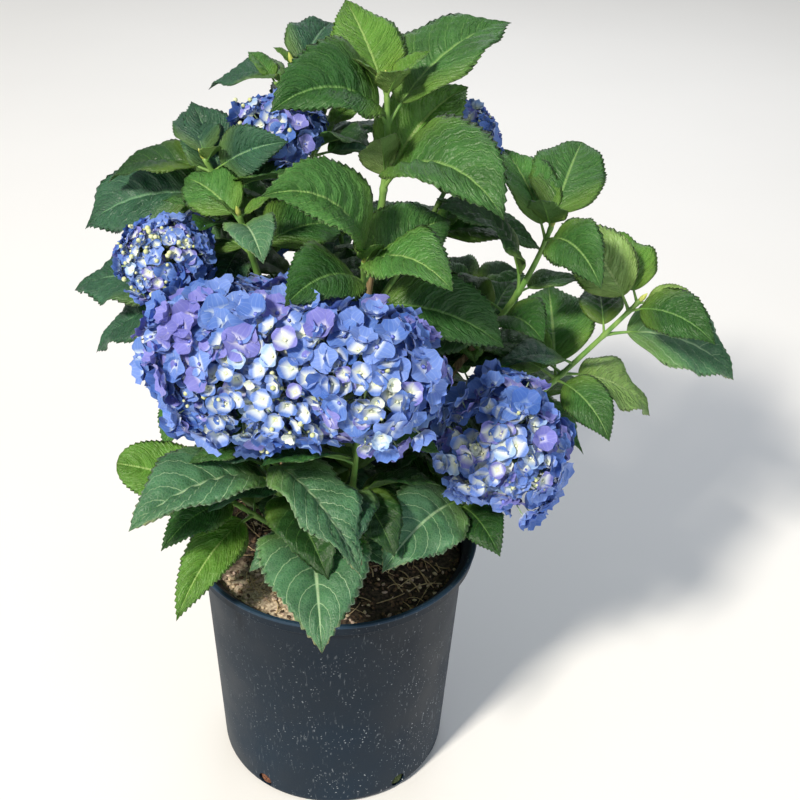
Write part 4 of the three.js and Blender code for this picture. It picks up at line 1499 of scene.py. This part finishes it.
@dataclass
class Foliage:
    """The leafy shoots: toothed blades in crossed pairs, on stalks that clasp green stems.

    No inner leaf ends in front of front and under front_least_height, over the pot's rim.
    """

    clear: Clearance
    young_length: float = 48
    stem_sides: int = 10
    stem_ring_mm: float = 2.2
    node_width: float = 2.6
    node_swell: float = 0.25
    bud_length: float = 9
    bud_radii: tuple[float, ...] = (1.7, 2.0, 2.2, 2.1, 1.6, 1.0, 0.3)
    stalk_marks: tuple[float, ...] = (0, 0.02, 0.08, BLADE_START, 0.3, 0.82)
    stalk_radii: tuple[float, ...] = (2.3, 1.9, 1.4, 1.25, 0.85, 0.25)
    first_seed: int = 900
    twig_length: tuple[float, float] = (20, 42)
    twig_out: float = 0.75
    twig_up: float = 0.62
    twig_radii: tuple[float, float] = (1.7, 1.1)
    twig_sag: float = 3
    twig_pairs: tuple[tuple[float, tuple[float, float]], ...] = ((1.0, (34, 48)), (0.72, (52, 74)))
    inner_tries: int = 26
    inner_rise: tuple[float, float] = (-12, 24)
    inner_arch: tuple[float, float] = (45, 80)
    inner_length: tuple[float, float] = (58, 96)
    inner_roll: tuple[float, float] = (-25, 25)
    front: float = -35
    front_least_height: float = 300
    heart_radius: float = 165
    heart_top: float = 470
    blades: LeafBlade = field(default_factory=LeafBlade)
    young: LeafBlade = field(default_factory=lambda: LeafBlade(
        teeth=12, across=(0, 0.12, 0.45, 0.8, 1), side_veins=6.0))
    inner: LeafBlade = field(default_factory=lambda: LeafBlade(
        teeth=19, rows_per_tooth=2, across=(0, 0.12, 0.45, 0.8, 1)))

    def __post_init__(self) -> None:
        """Start the stems, and each shoot's blades and random numbers."""
        self.stems = MeshStore()
        self.stores = {name: MeshStore() for name in SHOOTS}
        self.rows = {name: Row(self.first_seed + i) for i, name in enumerate(SHOOTS)}

    def add_stem(self, shoot: Shoot, budded: bool) -> None:
        """Add a shoot's stem, swollen where each pair of leaves stands.

        Args:
            shoot: the shoot.
            budded: whether its tip ends in a bud.
        """
        curve = shoot_curve(shoot)
        length = curve.length()
        share = np.linspace(0, 1, max(8, int(length / self.stem_ring_mm)))
        radii = SHOOT_RADII[0] + (SHOOT_RADII[1] - SHOOT_RADII[0]) * share
        for below in shoot.below:
            to_node = ((1 - share) * length - below) / self.node_width
            radii = radii * (1 + self.node_swell * np.exp(-to_node**2))
        self.stems.add_limb(curve.at(share), radii, self.stem_sides)
        if budded:
            steps = np.linspace(-1, self.bud_length, len(self.bud_radii))[:, None]
            self.stems.add_limb(curve.at(1) + curve.heading(1) * steps, np.array(self.bud_radii), 8, 1)

    def add_stalk(self, leaf: Leaf) -> None:
        """Add a leaf's stalk, which runs on under the blade as its midrib.

        Args:
            leaf: the leaf.
        """
        share = np.concatenate([[0, 0.02], np.linspace(0.06, 0.82, 12)])
        point, _, _, normal = leaf.midrib(share)
        scale = 0.45 + 0.55 * min(1.0, leaf.length / 100)
        radii = np.interp(share, self.stalk_marks, self.stalk_radii)
        sunk = np.interp(share, (BLADE_START, 0.25), (0, 1)) * radii * scale * 0.8
        self.stems.add_limb(point - normal * sunk[:, None], radii * scale, 6)

    def grow_leaf(self, shoot: str, leaf: Leaf, must: bool = False) -> None:
        """Grow one leaf, unless its coarse blade cuts through what has been kept clear.

        Args:
            shoot: the name of the shoot that it belongs to.
            leaf: the leaf.
            must: whether it stays whatever it touches.
        """
        row = self.rows[shoot]
        kind = self.young if leaf.length < self.young_length else self.blades
        tone = row.pick(next(shares for longest, shares in TONE_SHARES if leaf.length <= longest))
        if leaf.key == INNER:
            kind, tone = self.inner, row.pick(INNER_SHADE_TONES)
        elif leaf.key == AXIL:
            kind, tone = self.young, Tone.BACKLIT
        elif leaf.length > self.young_length:
            # A leaf's green from its place, which may be painted light or painted shade.
            tone = LEAF_GREENS_LIT_AND_SHADED.get(shoot, {}).get(leaf.key, SHOOT_GREENS_AND_SHADE.get(shoot, tone))
        leaf.slim = LEAF_WIDTHS.get((shoot, leaf.key), leaf.slim)
        leaf.widest = ROUND_LEAVES.get((shoot, leaf.key), leaf.widest)
        if self.clear.try_add(*leaf.sheet(), must):
            slot = 2 * list(Tone).index(tone)
            kind.add_to(self.stores[shoot], leaf, row, (slot, slot + 1))
            self.add_stalk(leaf)

    def side_twigs(self, shoot: Shoot, row: Row) -> list[tuple[Bezier, list[Leaf]]]:
        """Set short young twigs in the axils of a shoot.

        Args:
            shoot: the shoot.
            row: where their bearings and sizes come from.

        Returns:
            Each twig's line with its two pairs of leaves.
        """
        curve = shoot_curve(shoot)
        length = curve.length()
        twigs = []
        for pair, below in list(enumerate(shoot.below))[2:]:
            if below > length:
                continue
            foot = curve.at(1 - below / length)
            for half_turn in (0, 180):
                turn = shoot.turn + 90 * pair + half_turn + row.span(-25, 25)
                way = around(self.twig_out, math.radians(turn), self.twig_up)
                tip = foot + row.span(*self.twig_length) * way
                twig = Bezier(foot, (foot + tip) / 2 - (0, 0, self.twig_sag), tip)
                leaves = []
                for place, size in [(place, row.span(*sizes)) for place, sizes in self.twig_pairs]:
                    for side in (0, 180):
                        leaves.append(Leaf(
                            twig.at(place), turn + 90 * place * 3.6 + side + row.span(-15, 15),
                            row.span(8, 30), row.span(35, 70), size,
                            key="" if size < self.young_length else INNER))
                twigs.append((twig, leaves))
        return twigs

    def inner_leaves(self, shoot: Shoot, row: Row) -> list[Leaf]:
        """Set single leaves low on a shoot, to fill the dark heart of the crown.

        Args:
            shoot: the shoot.
            row: where their places and poses come from.

        Returns:
            The leaves to try.
        """
        curve = shoot_curve(shoot)
        leaves = []
        for _ in range(self.inner_tries):
            leaf = Leaf(
                curve.at(row.span(0, 0.75)), row.span(0, 360), row.span(*self.inner_rise),
                row.span(*self.inner_arch), row.span(*self.inner_length), row.span(*self.inner_roll),
                key=INNER)
            x, y, z = leaf.midrib(np.array([1.0]))[0][0]
            over_rim = y < self.front and z < self.front_least_height
            if math.hypot(x, y) < self.heart_radius and z < self.heart_top and not over_rim:
                leaves.append(leaf)
        return leaves

    def grow(self) -> None:
        """Grow the leaves: first those of the solids, then the finer ones that find room."""
        waiting = []
        for index, (name, shoot) in enumerate(SHOOTS.items()):
            self.add_stem(shoot, budded=all(head.on != name for head in HEADS.values()))
            late = TRIED_LAST.get(name, "").split()
            for leaf in leaves_of(shoot, FIRST_SHOOT_SEED + index):
                if leaf.key in late:
                    waiting.append((name, leaf))
                else:
                    self.grow_leaf(name, leaf, must=True)
        for name, poses in AXIL_LEAVES.items():
            curve = shoot_curve(SHOOTS[name])
            waiting += [(name, Leaf(curve.before_tip(below), *pose, key=AXIL)) for below, *pose in poses]
        for name, leaf in waiting:
            self.grow_leaf(name, leaf)
        for name in BUSHY:
            for twig, leaves in self.side_twigs(SHOOTS[name], self.rows[name]):
                self.stems.add_limb(twig.at(np.linspace(0, 1, 8)), np.linspace(*self.twig_radii, 8), 6)
                for leaf in leaves:
                    self.grow_leaf(name, leaf)
        for name, shoot in SHOOTS.items():
            for leaf in self.inner_leaves(shoot, self.rows[name]):
                self.grow_leaf(name, leaf)

    def build(self) -> None:
        """Build every shoot's blades, and all stems and stalks as one piece."""
        greens = [LeafFinish(tone, under).material() for tone in Tone for under in (False, True)]
        self.grow()
        for name, store in self.stores.items():
            place_piece(store.build(f"blades_{name}", greens), "leaf", f"leaves_{name}")
        green = PlainFinish("green_stem", "#5f8f3f", "#86ab58", 6.0, 0.5, 0.15, 6.0).material()
        bud = PlainFinish("leaf_bud", "#a3b44a", "#cdd277", 2.0, 0.5, 0.3, 3.0).material()
        place_piece(self.stems.build("green_stems", [green, bud]), "leaf")


def facing(normal: np.ndarray, spin: float) -> np.ndarray:
    """Turn a frame about a normal.

    Args:
        normal: the unit direction that becomes its third column.
        spin: the turn, in radians.

    Returns:
        The frame, one direction a column.
    """
    guide = (0.0, 0.0, 1.0) if abs(normal[2]) < 0.9 else (1.0, 0.0, 0.0)
    first = unit(np.cross(guide, normal))
    second = np.cross(normal, first)
    c, s = math.cos(spin), math.sin(spin)
    return np.stack([first * c + second * s, second * c - first * s, normal], 1)


@dataclass
class Florets:
    """What the heads share: four broad, rounded, overlapping sepals round a bead, and the buds."""

    radius: float = 10.5
    rows: int = 5
    columns: int = 4
    claw: float = 0.08
    half_width: float = 0.66
    tip_width: float = 0.34
    open_rises: tuple[float, ...] = (-0.3, 0.0, 0.25, 0.5, 0.7)
    cupped_rises: tuple[float, ...] = (0.2, 0.4, 0.6, 0.85)
    open_petals: dict = field(default_factory=lambda: {
        Petal.BLUE: 33, Petal.PERIWINKLE: 36, Petal.VIOLET: 18, Petal.DEEP: 12, Petal.PALE: 1})
    young_petals: dict = field(default_factory=lambda: {
        Petal.BLUE: 28, Petal.PERIWINKLE: 34, Petal.VIOLET: 18, Petal.PALE: 9, Petal.CREAM: 11})

    def __post_init__(self) -> None:
        """Make the shapes and finishes that every head repeats."""
        self.opened = [self.sepals(rise) for rise in self.open_rises]
        self.cupped = [self.sepals(rise) for rise in self.cupped_rises]
        up = np.array((0.0, 0.0, 1.0))
        self.bead = sweep(up * [[0.2], [1.2], [2.2]], np.array((0.6, 1.3, 0.5)), 6)
        self.bud = sweep(up * [[-2.0], [-0.9], [0.9], [2.0]], np.array((0.9, 2.1, 2.1, 0.8)), 6)
        finishes = [SepalFinish(petal, young) for young in (False, True) for petal in Petal]
        finishes += [
            PlainFinish("blue_bead", "#3c4cb0", "#8c9af0", 2.0, 0.4),
            PlainFinish("cream_bead", "#eef0c8", "#fbfbee", 2.0, 0.4),
            PlainFinish("pale_stalk", "#7fa06a", "#a9bfa0", 3.0, 0.55),
            PlainFinish("unopened_bud", "#c6cf8c", "#e2e8c0", 2.5, 0.45),
        ]
        self.materials = [finish.material() for finish in finishes]

    def sepals(self, rise: float) -> Shape:
        """Shape a floret's four sepals, facing +Z.

        Args:
            rise: the angle that a sepal has turned up by at its tip, in radians.

        Returns:
            Their vertices, pattern coordinates and faces.
        """
        along = np.linspace(0, 1, self.rows + 1)
        v, u = np.meshgrid(along, np.linspace(-1, 1, self.columns + 1), indexing="ij")
        heading = rise * (0.35 + 0.65 * along)
        out = np.concatenate([[0], np.cumsum(np.cos(heading[1:]))]) / self.rows
        up = np.concatenate([[0], np.cumsum(np.sin(heading[1:]))]) / self.rows
        width = self.half_width * self.radius * np.sin(math.pi * (0.1 + 0.9 * along) ** 0.85) ** 0.5
        width[-1] = self.tip_width * self.radius
        x = self.radius * (self.claw + (1 - self.claw) * out[:, None] - 0.12 * v * u**2)
        ruffle = 0.05 * np.sin(math.pi * 1.5 * u + 0.8) * v
        z = self.radius * (up[:, None] + 0.12 * np.sin(math.pi * v * 0.9) + 0.2 * np.abs(u) * v + ruffle)
        one = np.stack([x, u * width[:, None], z], -1).reshape(-1, 3)
        pattern = np.stack([0.5 + u / 2, v], -1).reshape(-1, 2)
        index = np.arange(len(one)).reshape(v.shape)
        points, faces = [], []
        for quarter in range(4):
            turn = np.array(Matrix.Rotation(quarter * math.pi / 2, 3, "Z"))
            points.append((one + (0, 0, 0.6 * (quarter % 2))) @ turn.T)
            faces.append(grid_faces(index + quarter * len(one), True))
        return np.concatenate(points), np.tile(pattern, (4, 1)), [np.concatenate(faces)]


@dataclass
class Mophead:
    """One mophead: a rim of wide-open florets round a heart of small cupped ones and cream buds.

    An edge holds how near the heart young florets start, as a cosine, and how soon they take over.
    """

    name: str
    seed: int
    florets: Florets
    spacing: float = 16.0
    packing: float = 0.42
    lowest: float = -0.62
    beats: tuple[int, ...] = (2, 3, 5, 8, 13)
    tilt: float = 0.42
    open_size: tuple[float, float] = (0.98, 1.42)
    young_size: tuple[float, float] = (0.66, 1.06)
    cream_size: float = 0.62
    young_edge: tuple[float, float] = (0.4, 0.45)
    opening_edge: tuple[float, float] = (0.45, 0.3)
    young_share: float = 0.84
    clumping: float = 0.2
    bud_chance: float = 0.16
    opening_bud_chance: float = 0.5
    buds: int = 4
    young_depth: tuple[float, float] = (0.86, 1.0)
    open_depth: tuple[float, float] = (0.76, 1.06)
    greatest_depth: float = 1.12
    stalk_rings: int = 14
    bridge_count: int = 110
    bridge_start: float = 0.2
    bridge_length: float = 0.65
    bridge_depth: tuple[float, float] = (0.8, 0.97)
    bridge_edge: tuple[float, float] = (0.5, 0.26)
    bridge_young_share: float = 0.9
    bridge_heart: tuple[float, float, float] = (0.0, -0.97, 0.24)

    def __post_init__(self) -> None:
        """Work out the head's axes and start its mesh and random numbers."""
        self.head = HEADS[self.name]
        self.row, self.store = Row(self.seed), MeshStore()
        self.opening = self.name == OPENING_HEAD
        self.scale = FLORET_SIZES.get(self.name, 1.0)
        self.centre = np.array(self.head.centre, float)
        across, back = map(math.radians, self.head.lean)
        lean = Quaternion((0, 1, 0), across) @ Quaternion((1, 0, 0), -back)
        self.turn = np.array(lean.to_matrix())
        shoot = shoot_curve(SHOOTS[self.head.on])
        foot = shoot.at(1)
        bow = shoot.heading(1) * np.linalg.norm(self.centre - foot) * HEAD_STALK_BOW
        self.stalk = Bezier(foot, foot + bow, self.centre)

    def add_floret(self, spot: np.ndarray, normal: np.ndarray, young: bool) -> None:
        """Add one floret with its bead, the ray that holds it, and now and then a few buds.

        Args:
            spot: the floret's place.
            normal: the way that it faces, before its small tilt.
            young: whether it is small and cupped.
        """
        row, florets = self.row, self.florets
        normal = unit(normal + row.spread(self.tilt))
        size = row.span(*(self.young_size if young else self.open_size)) * self.scale
        pose = facing(normal, row.span(0, math.pi)) * size
        petal = row.pick(florets.young_petals if young else florets.open_petals)
        if petal is Petal.CREAM:
            pose = pose * self.cream_size
        shapes = florets.cupped if young else florets.opened
        shape = shapes[int(row.next() * len(shapes))]
        kinds = len(Petal)
        self.store.add_posed(shape, pose, spot, list(Petal).index(petal) + (kinds if young else 0))
        self.store.add_posed(florets.bead, pose, spot, 2 * kinds + int(young))
        if young and row.next() < (self.opening_bud_chance if self.opening else self.bud_chance):
            for _ in range(self.buds):
                place = facing(normal, 0) * row.span(0.5, 1.0)
                aside = row.spread(8) - normal * row.span(-3, 2)
                self.store.add_posed(florets.bud, place, spot + aside, 2 * kinds + 3)
        ray = np.linspace(0, 1, 3)[:, None]
        fork = self.stalk.at(0.8)
        line = (fork + (spot - fork) * 0.35) * (1 - ray) + (spot - normal * 0.4) * ray
        self.store.add_limb(line, np.array((0.9, 0.7, 0.6)), 4, 2 * kinds + 2)

    def is_young(self, way: np.ndarray, clump: float) -> bool:
        """Say whether a floret is young: mostly in clumps round the head's heart.

        Args:
            way: the direction from the head's middle to the floret.
            clump: a slow wave over the head, from -1 to 1.

        Returns:
            Whether it is.
        """
        heart = np.array(HEARTS.get(self.name, self.turn[:, 2]), float)
        nearness = float(way @ heart) / float(np.linalg.norm(heart) * np.linalg.norm(way))
        start, reach = self.opening_edge if self.opening else self.young_edge
        chance = self.young_share + self.clumping * clump
        return self.row.next() < chance * float(np.clip((nearness - start) / reach, 0, 1))

    def cover(self) -> None:
        """Set florets over the head on a golden spiral, in and out of a lumpy ball."""
        row, turn = self.row, self.turn
        wide, tall = self.head.size
        half = np.array((wide, wide, tall))
        room = (self.spacing * self.scale) ** 2 * self.packing
        mean = (wide * wide * tall) ** (1 / 3)
        count = int(4 * math.pi * mean**2 * (1 - self.lowest) / 2 / room)
        lobes = [(beats, row.span(0, 6.28), row.span(0.04, 0.1)) for beats in self.beats]
        least = FLAT_BELOW.get(self.name, -1.0)
        for i in range(count):
            height = 1 - (i + 0.5) / count * (1 - self.lowest)
            flat = math.sqrt(max(0.0, 1 - height**2))
            bearing = GOLDEN_TURN * i + row.span(-0.3, 0.3)
            way = around(flat, bearing, height)
            clump = math.sin(2.1 * bearing + lobes[0][1]) * math.cos(6.0 * height + lobes[1][1])
            young = self.is_young(turn @ way, clump)
            depth = row.span(*(self.young_depth if young else self.open_depth))
            uneven = sum(deep * math.sin(beats * bearing + phase) for beats, phase, deep in lobes)
            depth = min(depth * (1 + flat * uneven), self.greatest_depth)
            if (turn @ way)[2] >= least + row.span(0, 0.15):
                spot = self.centre + turn @ (way * (half - 1) * depth)
                self.add_floret(spot, unit(turn @ (way / half)), young)

    def bridge(self, other: Head) -> None:
        """Fill the valley between the head and another one that it has grown into.

        Args:
            other: the other head.
        """
        axis = np.array(other.centre, float) - self.centre
        guide = facing(unit(axis), 0)
        for i in range(self.bridge_count):
            along = self.bridge_start + self.bridge_length * (i + 0.5) / self.bridge_count
            bearing = GOLDEN_TURN * i
            normal = guide[:, 0] * math.cos(bearing) + guide[:, 1] * math.sin(bearing)
            radius = self.head.size[0] * (1 - along) + other.size[0] * along
            spot = self.centre + axis * along + normal * radius * self.row.span(*self.bridge_depth)
            start, reach = self.bridge_edge
            nearness = float(np.clip((float(normal @ self.bridge_heart) - start) / reach, 0, 1))
            self.add_floret(spot, normal, self.row.next() < self.bridge_young_share * nearness)

    def build(self, stems: MeshStore, clear: Clearance) -> None:
        """Build the head's florets, add its stalk to the stems, and keep its room clear.

        Args:
            stems: the piece that holds every head's stalk.
            clear: what keeps leaves out of the head.
        """
        line = self.stalk.at(np.linspace(0, 0.95, self.stalk_rings))
        stems.add_limb(line, np.full(self.stalk_rings, HEAD_STALK_RADIUS), 8)
        self.cover()
        if self.name in GROWN_INTO:
            self.bridge(HEADS[GROWN_INTO[self.name]])
        place_piece(self.store.build(f"florets_{self.name}", self.florets.materials), "floret", self.name)
        wide, tall = self.head.size
        ball = np.array(((0, 0, 1), (1, 0, 0), (0, 1, 0), (-1, 0, 0), (0, -1, 0), (0, 0, -1)), float)
        ball = self.centre + (ball * (wide, wide, tall) * 0.92) @ self.turn.T
        upper = [(0, a, a % 4 + 1) for a in (1, 2, 3, 4)]
        lower = [(5, b, a) for _, a, b in upper]
        clear.try_add(ball, np.array(upper + lower), must=True)


@dataclass
class Studio:
    """A pale floor, sunny light from the upper left, and the camera of the photo's view."""

    camera_at: Point = (0.0, -929.55, 989.82)
    right: Point = (0.99874284, -0.03949648, 0.03086684)
    up: Point = (-0.00436195, 0.54495755, 0.83845229)
    forward: Point = (0.04993703, 0.83753286, -0.54410017)
    lens: float = 58.5
    floor_half: float = 9.0
    lit_point: Point = (0.03, 0, 0.4)
    sky: str = "#e6ecf4"
    sky_strength: float = 0.4
    floor_tints: tuple[str, str] = ("#f0f0ee", "#f5f5f3")
    lights: tuple[tuple[str, Point, float, float, str], ...] = (
        ("key", (-2.6, -3.3, 4.3), 0.7, 412, "#fff6e8"),
        ("fill", (1.9, -1.6, 1.2), 2.0, 10, "#e8f0ff"),
        ("back", (0.4, 2.0, 1.9), 1.6, 15, "#f4f7ff"),
    )

    def build_floor(self) -> None:
        """Build the pale floor."""
        clear_selection()
        bpy.ops.mesh.primitive_plane_add(size=2 * self.floor_half, location=(0, 0, -0.0002))
        floor = bpy.context.object
        floor.name = "floor"
        surface = Surface("pale_floor", 0.9)
        cloud = surface.add(Kind.NOISE, surface.add(Kind.PLACE), per_mm(400), 2)
        tint = surface.add(Kind.MIX, cloud, *map(linear, self.floor_tints))
        floor.data.materials.append(surface.wire(Base_Color=tint))

    def add_light(self, name: str, spot: Point, size: float, power: float, colour: str) -> None:
        """Add a square area light that faces the middle of the shrub.

        Args:
            name: what it is called.
            spot: where it hangs, in metres.
            size: its side, in metres.
            power: its power in watts.
            colour: its colour as sRGB hex.
        """
        data = bpy.data.lights.new(name, "AREA")
        data.size, data.energy, data.color = size, power, linear(colour)[:3]
        light = bpy.data.objects.new(name, data)
        light.location = spot
        light.rotation_euler = (Vector(self.lit_point) - Vector(spot)).to_track_quat("-Z", "Y").to_euler()
        bpy.context.scene.collection.objects.link(light)

    def build(self) -> None:
        """Build the floor, the lights, the sky and the camera."""
        self.build_floor()
        for light in self.lights:
            self.add_light(*light)
        world = bpy.data.worlds.new("studio")
        world.use_nodes = True
        colour, strength = world.node_tree.nodes["Background"].inputs[:2]
        colour.default_value, strength.default_value = linear(self.sky), self.sky_strength
        bpy.context.scene.view_settings.view_transform = "Standard"
        bpy.context.scene.world = world
        data = bpy.data.cameras.new("camera")
        data.lens, data.sensor_width, data.clip_start = self.lens, 36, 0.05
        camera = bpy.data.objects.new("camera", data)
        axes = Matrix((self.right, self.up, [-x for x in self.forward])).transposed()
        camera.matrix_world = Matrix.Translation(Vector(self.camera_at) * MM) @ axes.to_4x4()
        bpy.context.scene.collection.objects.link(camera)
        bpy.context.scene.camera = camera


def main() -> None:
    """Build the shrub, its pot and the studio."""
    logging.basicConfig(level=logging.INFO, format="%(name)s: %(message)s")
    Studio().build()
    NurseryPot().build()
    Compost().build()
    WoodyCanes().build()
    clear = Clearance()
    head_stems = MeshStore()
    florets = Florets()
    for index, name in enumerate(HEADS):
        Mophead(name, FIRST_HEAD_SEED + index, florets).build(head_stems, clear)
    green = PlainFinish("head_stalk", "#6f9a4a", "#93b26c", 6.0, 0.5, 0.15, 6.0).material()
    place_piece(head_stems.build("head_stalks", [green]), "leaf")
    Foliage(clear).build()


if __name__ == "__main__":
    main()
